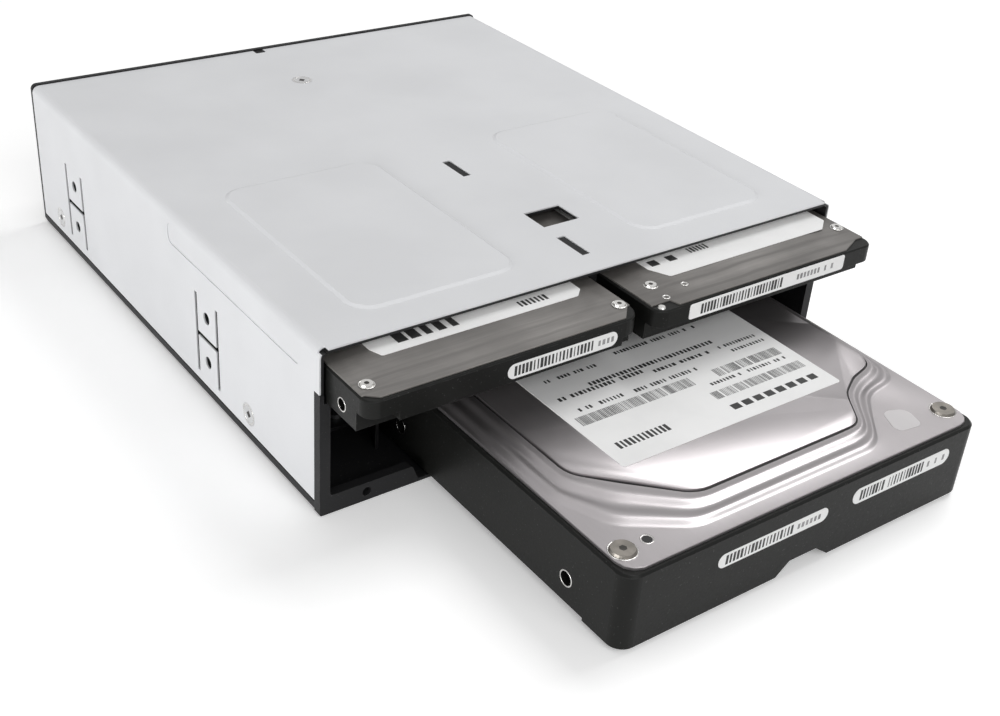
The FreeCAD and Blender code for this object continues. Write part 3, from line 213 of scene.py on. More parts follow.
class Surface(Shading):
    """A new material with its Principled shader."""

    def __init__(self, name):
        self.material = bpy.data.materials.new(name)
        self.material.use_nodes = True
        super().__init__(self.material.node_tree)
        self.shader = self.tree.nodes["Principled BSDF"]

    def grain(self, grain_size, cloud_size=30.0):
        return self.group(surface_grain, Vector=self.place(), Grain_Size=grain_size, Cloud_Size=cloud_size)

    def coat(self, grain_size, reach, wear, dust):
        """Grain, mask of rubbed edges, and dust of a coat or a moulding."""
        where = self.place()
        worn = self.group(edge_wear, Vector=where, Reach=reach, Amount=wear)["Mask"]
        return self.grain(grain_size), worn, self.group(handling_dust, Vector=where, Amount=dust)

    def rough(self, grain, low, high):
        return self.spread(grain["Height"], 0.3, 0.7, low, high)

    def finish(self, base, rough, height=None, depth=0.0, strength=0.4, **others):
        """Feeds the shader, with a bump of a depth in millimetres; gives the material."""
        if height is not None:
            values = {"Strength": strength, "Distance": depth * MM, "Height": height}
            others["Normal"] = self.node("ShaderNodeBump", values).outputs["Normal"]
        self.feed(self.shader, {"Base Color": base, "Roughness": rough, **spaced(others)})
        return self.material


def node_group(kind, output_kind, inputs):
    """Turns the decorated function into a node group of its name.

    inputs gives each input's starting number, or its kind of socket where it has none. The function
    takes the group's shading and inputs, and gives the sockets that feed its named outputs.
    """
    def made(build):
        tree = bpy.data.node_groups.new(build.__name__, kind + "NodeTree")
        for label, value in inputs.items():
            plain = not isinstance(value, str)
            socket_kind = {float: "Float", int: "Int"}[type(value)] if plain else value
            socket = tree.interface.new_socket(label, in_out="INPUT",
                socket_type="NodeSocket" + socket_kind)
            if plain:
                socket.default_value = value
        shade = Shading(tree)
        outputs = build(shade, shade.node("NodeGroupInput").outputs)
        for label in outputs:
            tree.interface.new_socket(label, in_out="OUTPUT", socket_type="NodeSocket" + output_kind)
        shade.feed(shade.node("NodeGroupOutput"), outputs)
        return tree
    return made


def shader_group(**values):
    return node_group("Shader", "Float", {"Vector": "Vector", **spaced(values)})


def geometry_group(**values):
    inputs = {"Geometry": "Geometry", **values, "Material": "Material"}
    return node_group("Geometry", "Geometry", inputs)


# ---- effects that the finishes share ----
@shader_group(Grain_Size=0.4, Cloud_Size=30.0)
def surface_grain(shade, given):
    """Fine unevenness of a coat or a moulding, and a slow cloudiness over the whole face."""
    grain_scale = shade.maths("DIVIDE", 1.0 / MM, given["Grain Size"])
    cloud_scale = shade.maths("DIVIDE", 1.0 / MM, given["Cloud Size"])
    cloud = shade.noise(given["Vector"], cloud_scale, 3.0)
    return {"Height": shade.noise(given["Vector"], grain_scale, 3.0, 0.6),
        "Cloud": shade.spread(cloud, 0.35, 0.65)}


@shader_group(Line_Size=0.3)
def rolled_lines(shade, given):
    """Long fine lines that rolling leaves in sheet, and short bright scuffs."""
    scale = shade.maths("DIVIDE", 1.0 / MM, given["Line Size"])
    marks = shade.noise(given["Vector"], shade.product(scale, 0.21))
    return {"Lines": shade.noise(given["Vector"], scale, 4.0, 0.7),
        "Scuffs": shade.spread(marks, 0.66, 0.74)}


@shader_group(Reach=0.3, Amount=0.5)
def edge_wear(shade, given):
    """Mask of sharp edges, broken up by noise, where a coat is rubbed."""
    bevel = shade.node("ShaderNodeBevel", {"Radius": shade.product(given["Reach"], MM)}, samples=4)
    flat = shade.node("ShaderNodeNewGeometry")
    likeness = shade.measured("DOT_PRODUCT", bevel.outputs["Normal"], flat.outputs["Normal"])
    patches = shade.spread(shade.noise(given["Vector"], 420.0, 4.0, 0.7), 0.4, 0.62)
    worn = shade.product(shade.spread(likeness, 0.995, 0.86), patches)
    return {"Mask": shade.maths("MULTIPLY", worn, given["Amount"], clamp=True)}


@shader_group(Amount=0.2)
def handling_dust(shade, given):
    """Sparse pale specks and smudges."""
    specks = shade.spread(shade.noise(given["Vector"], 1900.0, 1.0), 0.70, 0.76)
    smudge = shade.spread(shade.noise(given["Vector"], 70.0, 4.0, 0.6), 0.45, 0.75)
    return {"Specks": shade.product(specks, given["Amount"]),
        "Smudge": shade.product(smudge, given["Amount"])}


@shader_group(Half_Width=73.0, Top=40.9, Bend=1.5)
def sheet_depth(shade, given):
    """How far, in millimetres, a point lies inside the rounded outer face of a folded cover."""
    x, _, z = shade.parts(given["Vector"])
    past = []
    for place, edge in ((shade.maths("ABSOLUTE", x), "Half Width"), (z, "Top")):
        bend_start = shade.maths("SUBTRACT", given[edge], given["Bend"])
        past.append(shade.maths("SUBTRACT", shade.maths("DIVIDE", place, MM), bend_start))
    outside = shade.node("ShaderNodeCombineXYZ", {i: shade.maths("MAXIMUM", item, 0.0)
        for i, item in enumerate(past)})
    inside = shade.maths("MINIMUM", shade.maths("MAXIMUM", *past), 0.0)
    reached = shade.total(shade.measured("LENGTH", outside.outputs[0]), inside)
    return {"Depth": shade.maths("SUBTRACT", given["Bend"], reached)}


@shader_group(Front=-94.0, Reach=14.0, Pitch=1.7)
def front_grooves(shade, given):
    """Height of fine rolled grooves that run along a stamped cover's front edge."""
    y = shade.parts(given["Vector"])[1]
    waver = shade.spread(shade.noise(given["Vector"], 60.0), 0.3, 0.7, -0.35, 0.35)
    along = shade.maths("SUBTRACT", shade.maths("DIVIDE", y, MM), given["Front"])
    turn = shade.product(shade.maths("DIVIDE", shade.total(along, waver), given["Pitch"]), 2 * math.pi)
    wave = shade.total(shade.maths("SINE", turn), shade.maths("SINE", shade.product(turn, 0.43)))
    near = shade.spread(along, given["Reach"], shade.product(given["Reach"], 0.6))
    return {"Height": shade.product(wave, near)}


# ---- finishes ----
def coated_metal(name, tone, darker, bare, roughness, grain_size, wear, dust, depth, shine):
    """Satin coat on metal: grain, slow cloudiness, rubbed edges and dust."""
    shade = Surface(name)
    grain, worn, specks = shade.coat(grain_size, 0.25, wear, dust)
    base = shade.blend(specks["Specks"], shade.blend(grain["Cloud"], darker, tone), 0.6)
    rough = shade.total(shade.rough(grain, roughness - 0.05, roughness + 0.05),
        shade.product(specks["Smudge"], 0.3))
    return shade.finish(shade.blend(worn, base, bare), rough, grain["Height"], depth,
        Metallic=shade.product(worn, 0.9), Specular_IOR_Level=shine)


def cover_paint(name, tone, lit_and_worn_tone, darker, inner):
    """Pale coat; panel slopes get painted light and shade, cut edges and inner walls near-black painted
    shade.
    """
    shade = Surface(name)
    grain, worn, specks = shade.coat(0.45, 0.25, 0.2, 0.06)
    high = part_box("top_cover")[1]
    depth = shade.group(sheet_depth, Vector=shade.place(), Half_Width=high[0] / MM,
        Top=high[2] / MM - PANEL_RISE, Bend=COVER_BEND)["Depth"]
    facing = shade.node("ShaderNodeNewGeometry").outputs["True Normal"]
    upward = shade.parts(facing)[2]
    # painted light and shade: slopes that face front left, towards the lamps, are painted lighter, the
    # others darker
    front_left = shade.measured("DOT_PRODUCT", facing, (-0.6, -0.8, 0.0))
    painted_slope_light = shade.blend(shade.spread(front_left, -0.3, 0.3), darker, lit_and_worn_tone)
    sloping = shade.product(shade.spread(upward, 0.99, 0.97), shade.spread(upward, 0.70, 0.80))
    base = shade.blend(shade.product(grain["Cloud"], 0.35), tone, darker)
    base = shade.blend(sloping, base, painted_slope_light)
    base = shade.blend(specks["Specks"], base, 0.5)
    base = shade.blend(worn, base, lit_and_worn_tone)
    # painted shade: cut edges, slot walls and inner walls near black; faces turned down get a paler coat
    underside_coat_and_edge_shade = shade.blend(shade.spread(upward, -0.7, -0.5), 0.7, inner)
    rough = shade.total(shade.rough(grain, 0.40, 0.50), shade.product(specks["Smudge"], 0.2))
    return shade.finish(shade.blend(shade.spread(depth, SKIN_EDGE, SKIN_EDGE + 0.1), base, underside_coat_and_edge_shade),
        rough, grain["Height"], 0.010, Specular_IOR_Level=0.25)


def stamped_metal(name, tone, darker, roughness, stretch, grooves=None, metallic=1.0):
    """Bare rolled sheet with lines along one direction, and grooves given as front, reach, pitch."""
    shade = Surface(name)
    lines = shade.group(rolled_lines, Vector=shade.place(stretch), Line_Size=0.35)
    grain = shade.grain(0.5, 22.0)
    share = shade.total(shade.product(lines["Lines"], 0.55), shade.product(grain["Cloud"], 0.45))
    base = shade.blend(shade.spread(share, 0.2, 0.9), darker, tone)
    height = shade.product(lines["Lines"], 0.02)
    if grooves is not None:
        front, reach, pitch = grooves
        bands = shade.group(front_grooves, Vector=shade.place(), Front=front, Reach=reach,
            Pitch=pitch)["Height"]
        # painted shade: the grooves' troughs are painted darker, besides their bump
        base = shade.blend(shade.spread(bands, -1.4, -0.2, 0.7, 0.0), base, darker)
        height = shade.total(height, shade.product(bands, 0.22))
    rough = shade.total(shade.spread(lines["Lines"], 0.35, 0.65, roughness - 0.02, roughness + 0.02),
        shade.product(lines["Scuffs"], 0.06))
    return shade.finish(base, rough, height, 0.03, 0.6, Metallic=metallic)


def turned_metal(name, tone, darker, roughness):
    """Plated small parts such as screws and rivets."""
    shade = Surface(name)
    grain = shade.grain(0.25, 3.0)
    return shade.finish(shade.blend(grain["Cloud"], darker, tone),
        shade.rough(grain, roughness - 0.06, roughness + 0.08), grain["Height"], 0.01,
        Metallic=1.0)


def moulded_plastic(name, tone, darker, roughness, grain_size):
    shade = Surface(name)
    grain, worn, specks = shade.coat(grain_size, 0.2, 0.35, 0.15)
    base = shade.blend(specks["Specks"], shade.blend(grain["Cloud"], darker, tone), 0.35)
    return shade.finish(shade.blend(worn, base, 0.18),
        shade.rough(grain, roughness - 0.06, roughness + 0.06), grain["Height"], 0.03,
        Specular_IOR_Level=0.2)


def solder_mask(name, lacquer, over_copper, cloudy):
    """Board lacquer over copper tracks that run square to each other."""
    shade = Surface(name)
    along = shade.noise(shade.place((1.0, 0.06, 1.0)), 900.0, 0.0)
    across = shade.noise(shade.place((0.06, 1.0, 1.0)), 900.0, 0.0)
    pick = shade.maths("GREATER_THAN", shade.noise(shade.place(), 70.0, 0.0), 0.5)
    tracks = shade.total(shade.product(pick, along),
        shade.product(shade.maths("SUBTRACT", 1.0, pick), across))
    raised = shade.spread(tracks, 0.52, 0.56)
    grain = shade.grain(0.3, 25.0)
    base = shade.blend(grain["Cloud"], shade.blend(raised, lacquer, over_copper), cloudy)
    return shade.finish(base, shade.rough(grain, 0.26, 0.36), raised, 0.03, 0.5)


def label_stock(name, tone, darker):
    """Coated white label with a faint fibre and slight yellowing."""
    shade = Surface(name)
    grain = shade.grain(0.35, 18.0)
    specks = shade.group(handling_dust, Vector=shade.place(), Amount=0.12)
    base = shade.blend(specks["Smudge"], shade.blend(grain["Cloud"], darker, tone), 0.55)
    return shade.finish(base, shade.rough(grain, 0.42, 0.55), grain["Height"], 0.006, 0.25)


def label_ink(name, level):
    """Thermal print, a little uneven."""
    shade = Surface(name)
    grain = shade.grain(0.2, 6.0)
    return shade.finish(shade.blend(grain["Cloud"], level, level * 1.7), shade.rough(grain, 0.5, 0.65))


def small_cover_metal(name, tone, darker, reach, pitch):
    """Rolled sheet of a 2.5 inch drive's cover, with grooves along its front."""
    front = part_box(name.replace("drive_cover_", "") + "_drive_casting")[0][1] / MM
    return stamped_metal(name, tone, darker, 0.38, (0.025, 1.0, 1.0), (front, reach, pitch), 0.5)


FINISH_TABLE = {  # how it is made, its tones from main to dark, and its other values
    # cover_grey: the second and third tones also paint light and shade on the panel slopes, the last is
    # near-black painted shade on cut edges and inner walls
    "cover_grey": (cover_paint, ((0.775, 0.782, 0.798), (0.725, 0.732, 0.747), (0.66, 0.666, 0.68),
        (0.02, 0.02, 0.021)), {}),
    "tray_black": (coated_metal, ((0.020, 0.020, 0.021), (0.015, 0.015, 0.016), 0.22),
        dict(roughness=0.45, grain_size=0.4, wear=0.25, dust=0.06, depth=0.02, shine=0.14)),
    "frame_black": (moulded_plastic, ((0.022, 0.022, 0.023), (0.016, 0.016, 0.017)),
        dict(roughness=0.5, grain_size=0.5)),
    "spring_steel": (stamped_metal, ((0.60, 0.60, 0.58), (0.48, 0.48, 0.47)),
        dict(roughness=0.25, stretch=(1.0, 0.05, 1.0))),
    "zinc_steel": (turned_metal, ((0.74, 0.74, 0.745), (0.62, 0.62, 0.625)), dict(roughness=0.34)),
    "board_green": (solder_mask, ((0.012, 0.075, 0.035), (0.022, 0.15, 0.065), (0.015, 0.10, 0.045)), {}),
    "socket_black": (moulded_plastic, (0.018, 0.012), dict(roughness=0.45, grain_size=0.4)),
    "can_metal": (turned_metal, ((0.72, 0.72, 0.74), (0.62, 0.62, 0.65)), dict(roughness=0.28)),
    "chip_black": (moulded_plastic, (0.03, 0.022), dict(roughness=0.55, grain_size=0.2)),
    "casting_black": (coated_metal, ((0.0110, 0.0112, 0.0104), (0.008, 0.0082, 0.0076), 0.16),
        dict(roughness=0.38, grain_size=0.6, wear=0.3, dust=0.05, depth=0.035, shine=0.15)),
    "drive_cover_large": (stamped_metal, ((0.425, 0.402, 0.41), (0.39, 0.368, 0.374)),
        dict(roughness=0.31, stretch=(1.0, 0.025, 1.0), metallic=0.85)),
    "drive_cover_left": (small_cover_metal, ((0.26, 0.248, 0.236), (0.165, 0.157, 0.149)),
        dict(reach=13.0, pitch=1.75)),
    "drive_cover_right": (small_cover_metal, ((0.235, 0.223, 0.212), (0.135, 0.128, 0.121)),
        dict(reach=14.5, pitch=2.05)),
    "torx_steel": (turned_metal, ((0.27, 0.25, 0.225), (0.19, 0.178, 0.16)), dict(roughness=0.38)),
    "label_white": (label_stock, ((0.95, 0.95, 0.945), (0.92, 0.92, 0.915)), {}),
    "motor_metal": (turned_metal, ((0.58, 0.58, 0.59), (0.46, 0.46, 0.47)), dict(roughness=0.3)),
}
FINISHES = {name: make(name, *tones, **values) for name, (make, tones, values) in FINISH_TABLE.items()}
INK = label_ink("label_ink", 0.02)
GREY_INK = label_ink("grey_ink", 0.20)
# black of the seam line, and painted shade standing in for the port's open hole
SEAM_BLACK_AND_HOLE_SHADE = label_ink("seam_black_and_hole_shade", 0.006)
GOLD = turned_metal("contact_gold", (0.86, 0.62, 0.28), (0.74, 0.52, 0.22), 0.25)
# bright plated metal of small screw heads and hole rims, and painted highlight of the rings round heads
# and pressed rings
BRIGHT_METAL_AND_HIGHLIGHT = turned_metal("bright_metal_and_painted_highlight", (0.82, 0.81, 0.79), (0.66, 0.65, 0.63), 0.24)
# flat dark discs that stand in as painted shade for screw driver recesses
PAINTED_RECESS_SHADE = turned_metal("painted_recess_shade", (0.085, 0.08, 0.075), (0.05, 0.048, 0.045), 0.5)
STICKER = label_stock("pale_sticker", (0.66, 0.635, 0.64), (0.62, 0.60, 0.605))


def dress_frame_nodes():
    for name, node in frame["nodes"].items():
        for place in node.material_slots:
            place.material = FINISHES[SLOT_OF_NODE[name]]


# ---- trees that make what repeats ----
def place_copies(shade, given, points, shape, rotation, scale=(1.0, 1.0, 1.0)):
    """Outputs of a group that sets real copies of a shape on points, in its material."""
    placed = shade.node("GeometryNodeInstanceOnPoints", {
        "Points": points, "Instance": shape, "Rotation": rotation, "Scale": scale})
    real = shade.node("GeometryNodeRealizeInstances", {"Geometry": placed.outputs["Instances"]})
    dressed = shade.node("GeometryNodeSetMaterial", {
        "Geometry": real.outputs["Geometry"], "Material": given["Material"]})
    return {"Geometry": dressed.outputs["Geometry"]}


def stand_on_points(shade, given, shape):
    """Copies of a shape on the points, its Z along the attribute named way."""
    facing = shade.node("FunctionNodeAlignRotationToVector",
        {"Vector": shade.attribute("way", "FLOAT_VECTOR")}, axis="Z")
    return place_copies(shade, given, given["Geometry"], shape, facing.outputs["Rotation"])


@geometry_group(Pitch=0.6, Narrowest=0.2, Widest=0.9, Skipped=0.0, Thickness=0.02, Seed=1)
def bars_along_lines(shade, given):
    """Geometry Nodes: every edge becomes a row of small blocks.

    The points carry bar_up, the way each block's height runs, and bar_height.
    """
    curves = shade.node("GeometryNodeMeshToCurve", {"Mesh": given["Geometry"]})
    points = shade.node("GeometryNodeCurveToPoints", {
        "Curve": curves.outputs["Curve"], "Length": given["Pitch"]}, mode="LENGTH")
    skip = shade.node("FunctionNodeRandomValue", {
        "Probability": given["Skipped"], "Seed": given["Seed"]}, data_type="BOOLEAN")
    thinned = shade.node("GeometryNodeDeleteGeometry", {
        "Geometry": points.outputs["Points"], "Selection": skip.outputs[3]}, domain="POINT")
    width = shade.node("FunctionNodeRandomValue", {
        2: given["Narrowest"], 3: given["Widest"], "Seed": given["Seed"]}, data_type="FLOAT")
    scale = shade.node("ShaderNodeCombineXYZ", {
        0: shade.product(width.outputs[1], given["Pitch"]), 1: shade.attribute("bar_height", "FLOAT"),
        2: given["Thickness"]})
    facing = shade.node("FunctionNodeAxesToRotation", {
        "Primary Axis": shade.attribute("bar_up", "FLOAT_VECTOR"),
        "Secondary Axis": points.outputs["Tangent"]}, primary_axis="Y", secondary_axis="X")
    block = shade.node("GeometryNodeMeshCube")
    return place_copies(shade, given, thinned.outputs["Geometry"], block.outputs["Mesh"],
        facing.outputs["Rotation"], scale.outputs["Vector"])


@geometry_group(Radius=0.002, Height=0.0006, Taper=0.88, Sides=32)
def heads_on_points(shade, given):
    """Geometry Nodes: a short tapered head on every point, standing along the point's way."""
    head = shade.node("GeometryNodeMeshCone", {
        "Vertices": given["Sides"], "Radius Bottom": given["Radius"],
        "Radius Top": shade.product(given["Radius"], given["Taper"]), "Depth": given["Height"]})
    return stand_on_points(shade, given, head.outputs["Mesh"])


@geometry_group(Radius=0.002, Width=0.0004, Height=0.0002)
def rings_on_points(shade, given):
    """Geometry Nodes: a flat ring round every point, square to the point's way."""
    path = shade.node("GeometryNodeCurvePrimitiveCircle", {"Resolution": 32, "Radius": given["Radius"]})
    section = shade.node("GeometryNodeCurvePrimitiveQuadrilateral", {
        "Width": given["Width"], "Height": given["Height"]})
    ring = shade.node("GeometryNodeCurveToMesh", {
        "Curve": path.outputs["Curve"], "Profile Curve": section.outputs["Curve"]})
    return stand_on_points(shade, given, ring.outputs["Mesh"])


def grow(name, tree, guide, look, **values):
    """Runs a tree on a guide mesh and keeps the result as one plain piece of a look."""
    body, slot, material = look
    obj = bpy.data.objects.new(name, guide)
    bpy.context.collection.objects.link(obj)
    modifier = obj.modifiers.new(name, "NODES")
    modifier.node_group = tree
    sockets = {item.name: item.identifier for item in tree.interface.items_tree
        if item.item_type == "SOCKET" and item.in_out == "INPUT"}
    for key, value in {**values, "Material": material}.items():
        modifier[sockets[key]] = value
    evaluated = obj.evaluated_get(bpy.context.evaluated_depsgraph_get())
    result = bpy.data.meshes.new_from_object(evaluated)
    obj.modifiers.remove(modifier)
    obj.data = result
    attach(obj, body)
    return obj


# Bars are set at a pitch, in millimetres. Their widths are shares of it, and a share is left out.
Bars = namedtuple("Bars", "pitch narrowest widest skipped seed")


def rows_of_bars(name, rows, look, bars, thickness):
    """rows: (start, end, up) in millimetres; each row is bars of up's length, centred on the line."""
    points = [Vector(point) * MM for start, end, _ in rows for point in (start, end)]
    guide = bpy.data.meshes.new(name + "_lines")
    guide.from_pydata(points, [(i, i + 1) for i in range(0, len(points), 2)], [])
    guide.attributes.new("bar_up", "FLOAT_VECTOR", "POINT")
    guide.attributes.new("bar_height", "FLOAT", "POINT")
    for i in range(len(points)):
        up = Vector(rows[i // 2][2])
        guide.attributes["bar_up"].data[i].vector = up.normalized()
        guide.attributes["bar_height"].data[i].value = up.length * MM
    return grow(name, bars_along_lines, guide, look, Pitch=bars.pitch * MM, Narrowest=bars.narrowest,
        Widest=bars.widest, Skipped=bars.skipped, Thickness=thickness * MM, Seed=bars.seed)


def marked_points(name, places):
    """Guide mesh of loose points; places are (point, way) pairs in millimetres."""
    guide = bpy.data.meshes.new(name + "_points")
    guide.from_pydata([Vector(point) * MM for point, way in places], [], [])
    ways = guide.attributes.new("way", "FLOAT_VECTOR", "POINT")
    for i, (point, way) in enumerate(places):
        ways.data[i].vector = Vector(way)
    return guide


def heads(name, places, look, radius, height, taper=HEAD_TAPER, sides=32):
    return grow(name, heads_on_points, marked_points(name, places), look, Radius=radius * MM,
        Height=height * MM, Taper=taper, Sides=sides)


def rings(name, places, look, radius, width, height):
    return grow(name, rings_on_points, marked_points(name, places), look, Radius=radius * MM,
        Width=width * MM, Height=height * MM)


# ---- outlines and shells ----
ARC_STEPS = 12  # points along each rounded corner
LOOP_STEPS = 288  # points round the large cover's outlines
ROLL_STEPS = 8  # points over each eased step of a cover
COVER_SMOOTH = 35  # degrees
SHEET_SMOOTH = 30


def rounded_loop(corners):
    """Dense closed polyline of an outline whose corners are (x, y, radius)."""
    loop = []
    count = len(corners)
    for i, (x, y, radius) in enumerate(corners):
        here = Vector((x, y))
        back = (Vector(corners[i - 1][:2]) - here).normalized()
        ahead = (Vector(corners[(i + 1) % count][:2]) - here).normalized()
        half_turn = back.angle(ahead) / 2
        reach = radius / math.tan(half_turn)
        centre = here + (back + ahead).normalized() * (radius / math.sin(half_turn))
        start = here + back * reach - centre
        finish = here + ahead * reach - centre
        for step in range(ARC_STEPS + 1):
            loop.append(centre + start.lerp(finish, step / ARC_STEPS).normalized() * radius)
    return loop


def divided(loop, longest):
    """The same closed loop with its long stretches divided."""
    found = []
    for a, b in zip(loop, loop[1:] + loop[:1]):
        parts = max(1, math.ceil((b - a).length / longest))
        found += [a.lerp(b, i / parts) for i in range(parts)]
    return found


def polar_loop(corners, centre, angles):
    """Points of a rounded outline at some angles round a centre."""
    loop = rounded_loop(corners)
    found = []
    for angle in angles:
        ray = Vector((math.cos(angle), math.sin(angle)))
        side = Vector((-ray.y, ray.x))
        farthest = 0.0
        for a, b in zip(loop, loop[1:] + loop[:1]):
            u, v = (a - centre).dot(side), (b - centre).dot(side)
            if u != v and (u > 0) != (v > 0):
                farthest = max(farthest, (a.lerp(b, u / (u - v)) - centre).dot(ray))
        found.append(centre + ray * farthest)
    return found


def set_down(origin, places, height):
    """Flat places put at a height over a drive."""
    return [(origin.x + x, origin.y + y, height) for x, y in places]


def upright(origin, places, height):
    """The same with the way up, for heads and rings."""
    return [(point, UP) for point in set_down(origin, places, height)]


def pulled_in(loop, centre, distance):
    return [p + (centre - p).normalized() * distance for p in loop]


def between(first, second, share):
    return [a.lerp(b, share) for a, b in zip(first, second)]


def band(count, lower, upper):
    """Faces between two rings of a stack, given by their numbers."""
    return [(lower * count + i, lower * count + (i + 1) % count,
        upper * count + (i + 1) % count, upper * count + i) for i in range(count)]


def shell_of(stack):
    """Points and faces of a closed shell from rings of equal count; both ends are capped."""
    count = len(stack[0])
    faces = [face for level in range(len(stack) - 1) for face in band(count, level, level + 1)]
    last = (len(stack) - 1) * count
    return ([point for ring in stack for point in ring],
        faces + [tuple(range(last, last + count)), tuple(reversed(range(count)))])


def rolled_profile(knots):
    """(place, height) pairs eased between knots of (place, height)."""
    profile = []
    for (p0, h0), (p1, h1) in zip(knots, knots[1:]):
        for i in range(ROLL_STEPS):
            t = i / ROLL_STEPS
            profile.append((p0 + (p1 - p0) * t, h0 + (h1 - h0) * (t * t * (3 - 2 * t))))
    profile.append(knots[-1])
    return profile


# ---- stamped covers ----
SEAM_WIDTH = 0.36  # groove round the plateau
SEAM_DEPTH = 0.45  # height of the groove's floor over the rim
RIM_INSET = 1.1  # from the casting's outline to the large cover's


def make_stamped_cover(drive, centre, outer, rim, edge, lower, upper, knots, top_rings=()):
    """Closed skin: flat rim with an eased edge, rolls between two outlines, then any rings on top.

    rim is the rim's underside and top, edge the drop and inset of its edge, and knots are
    (share of the way from the lower to the upper outline, height).
    """
    slot = "drive_cover_" + drive
    node = drive + "_drive_cover"
    origin = drive_box(drive)[0]
    stack = [set_down(origin, outer, rim[0]), set_down(origin, outer, rim[1] - edge[0]),
        set_down(origin, pulled_in(outer, centre, edge[1]), rim[1])]
    stack += [set_down(origin, between(lower, upper, share), height)
        for share, height in rolled_profile(knots)]
    cover = piece_from(drive + "_cover_skin", *shell_of(stack + list(top_rings)),
        (drive + "_drive", slot, FINISHES[slot]), COVER_SMOOTH)
    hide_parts(node)


def make_large_cover():
    """Stamped cover of the 3.5 inch drive: flat rim, two rolls, a dark seam and the plateau."""
    origin, size = drive_box("large")
    foot, top = levels_of("large_drive_cover")
    rim_top = foot + LARGE_RIM
    right, rear, inner_rear = size.x, LARGE_LENGTH - 4.0, LARGE_LENGTH - 12.0
    ridge = [(1.9, 25.0, 7), (7.0, 13.0, 9), (21.0, 4.2, 10), (right - 28.0, 4.2, 9),
        (right - 20.0, 13.2, 8), (right - 14.2, 19.2, 9), (right - 2.2, 20.8, 6),
        (right - 2.2, rear - 16.0, 6), (right - 16.0, rear, 8), (16.0, rear, 8),
        (1.9, rear - 16.0, 6)]
    plateau = [(9.6, 30.5, 7), (28.0, 12.2, 8), (right - 26.2, 12.2, 5), (right - 19.6, 22.0, 9),
        (right - 13.0, 25.8, 7), (right - 4.0, 28.2, 5), (right - 4.0, inner_rear - 14.0, 6),
        (right - 16.0, inner_rear, 8), (22.0, inner_rear, 8), (9.6, inner_rear - 14.0, 6)]
    x1, y1 = right - RIM_INSET, LARGE_LENGTH - RIM_INSET
    rim = [(RIM_INSET, RIM_INSET, 4.2), (x1, RIM_INSET, 4.2), (x1, y1, 4.2), (RIM_INSET, y1, 4.2)]
    centre = Vector((right / 2 + 4.0, LARGE_LENGTH / 2 - 4.0))
    angles = [2 * math.pi * i / LOOP_STEPS for i in range(LOOP_STEPS)]
    outer, lower, upper = (polar_loop(corners, centre, angles) for corners in (rim, ridge, plateau))
    seam_floor = rim_top + SEAM_DEPTH
    inward = [(a - b).normalized() for a, b in zip(upper, lower)]
    top_rings = [set_down(origin, [p + n * inset for p, n in zip(upper, inward)], height) for inset, height
        in ((-SEAM_WIDTH, seam_floor), (0.02, seam_floor), (0.06, top - 0.10), (0.22, top))]
    knots = [(0.0, rim_top), (0.24, rim_top + 0.66), (0.48, rim_top + 0.38), (0.74, rim_top + 1.02),
        (0.93, rim_top + 0.90)]
    make_stamped_cover("large", centre, outer, (foot, rim_top), (0.12, 0.15), lower, upper, knots,
        top_rings)
    make_cover_seam(origin, upper, inward, seam_floor)
    make_cover_port(origin, rim_top)


def make_cover_seam(origin, loop, inward, height):
    """Thin black line in the groove round the plateau."""
    low, high, outside = height - 0.05, height + 0.10, -0.34
    verts = [(origin.x + p.x + n.x * side, origin.y + p.y + n.y * side, lift)
        for side, lift in ((outside, low), (outside, high), (0.0, high), (0.0, low))
        for p, n in zip(loop, inward)]
    faces = [face for level in range(4) for face in band(len(loop), level, (level + 1) % 4)]
    piece_from("large_cover_seam", verts, faces, ("large_drive", "socket_black", SEAM_BLACK_AND_HOLE_SHADE), SHEET_SMOOTH)


def make_cover_port(origin, rim_top):
    """Small port beside the front left screw: painted shade for its open hole, in a painted highlight
    ring.
    """
    spot = upright(origin, [(10.4, 7.0)], rim_top)
    heads("cover_port_hole_shade", spot, ("large_drive", "socket_black", SEAM_BLACK_AND_HOLE_SHADE), radius=1.05,
        height=0.02, taper=0.98, sides=24)
    rings("cover_port_highlight_ring", spot, ("large_drive", "torx_steel", BRIGHT_METAL_AND_HIGHLIGHT), radius=1.3,
        width=RIM_STOCK, height=0.12)


SMALL_COVER_CORNERS = {  # width, depth and slant of each cover's left and right front corner
    "left": ((0.7, 2.0, 2.4), (0.7, 3.8, 3.6)),
    "right": ((5.4, 2.4, 0.8), (2.6, 2.8, 6.4)),
}
SMALL_STEP_FRONT = {"left": 2.9, "right": 5.0}  # where each cover starts to rise


def make_small_cover(side):
    """Stamped cover of a 2.5 inch drive: flat rim and one soft roll up to the plateau."""
    size = drive_box(side)[1]
    foot, top = levels_of(side + "_drive_cover")
    rim_top = foot + SMALL_RIM
    left, right, front, rear = 0.4, size.x - 0.4, 0.7, size.y - 3.0
    outline = []
    for sign, edge, (width, depth, slant) in zip((-1, 1), (left, right), SMALL_COVER_CORNERS[side]):
        points = [(edge, front + depth, 0.3), (edge - sign * width, front + depth, 0.3),
            (edge - sign * (width + slant), front, 0.3)]
        outline += points[::-sign]
    outline += [(right, rear, 2.5), (left, rear, 2.5)]
    centre = Vector((size.x / 2, size.y / 2))
    outer = divided(rounded_loop(outline), 2.0)
    angles = [math.atan2(p.y - centre.y, p.x - centre.x) for p in outer]

    def step_loop(inset, lead, tail):
        x0, x1, y1 = inset, size.x - inset, size.y - tail
        return polar_loop([(x0, lead + 5.6, 4), (x0 + 6.0, lead, 4), (x1 - 6.0, lead, 4),
            (x1, lead + 5.6, 4), (x1, y1, 4), (x0, y1, 4)], centre, angles)

    start = SMALL_STEP_FRONT[side]
    make_stamped_cover(side, centre, outer, (foot, rim_top), (0.1, 0.12),
        step_loop(2.2, start - 1.0, 4.6), step_loop(8.2, start + 6.4, 12.0),
        [(0.0, rim_top), (0.52, rim_top + 0.3), (1.0, top)])


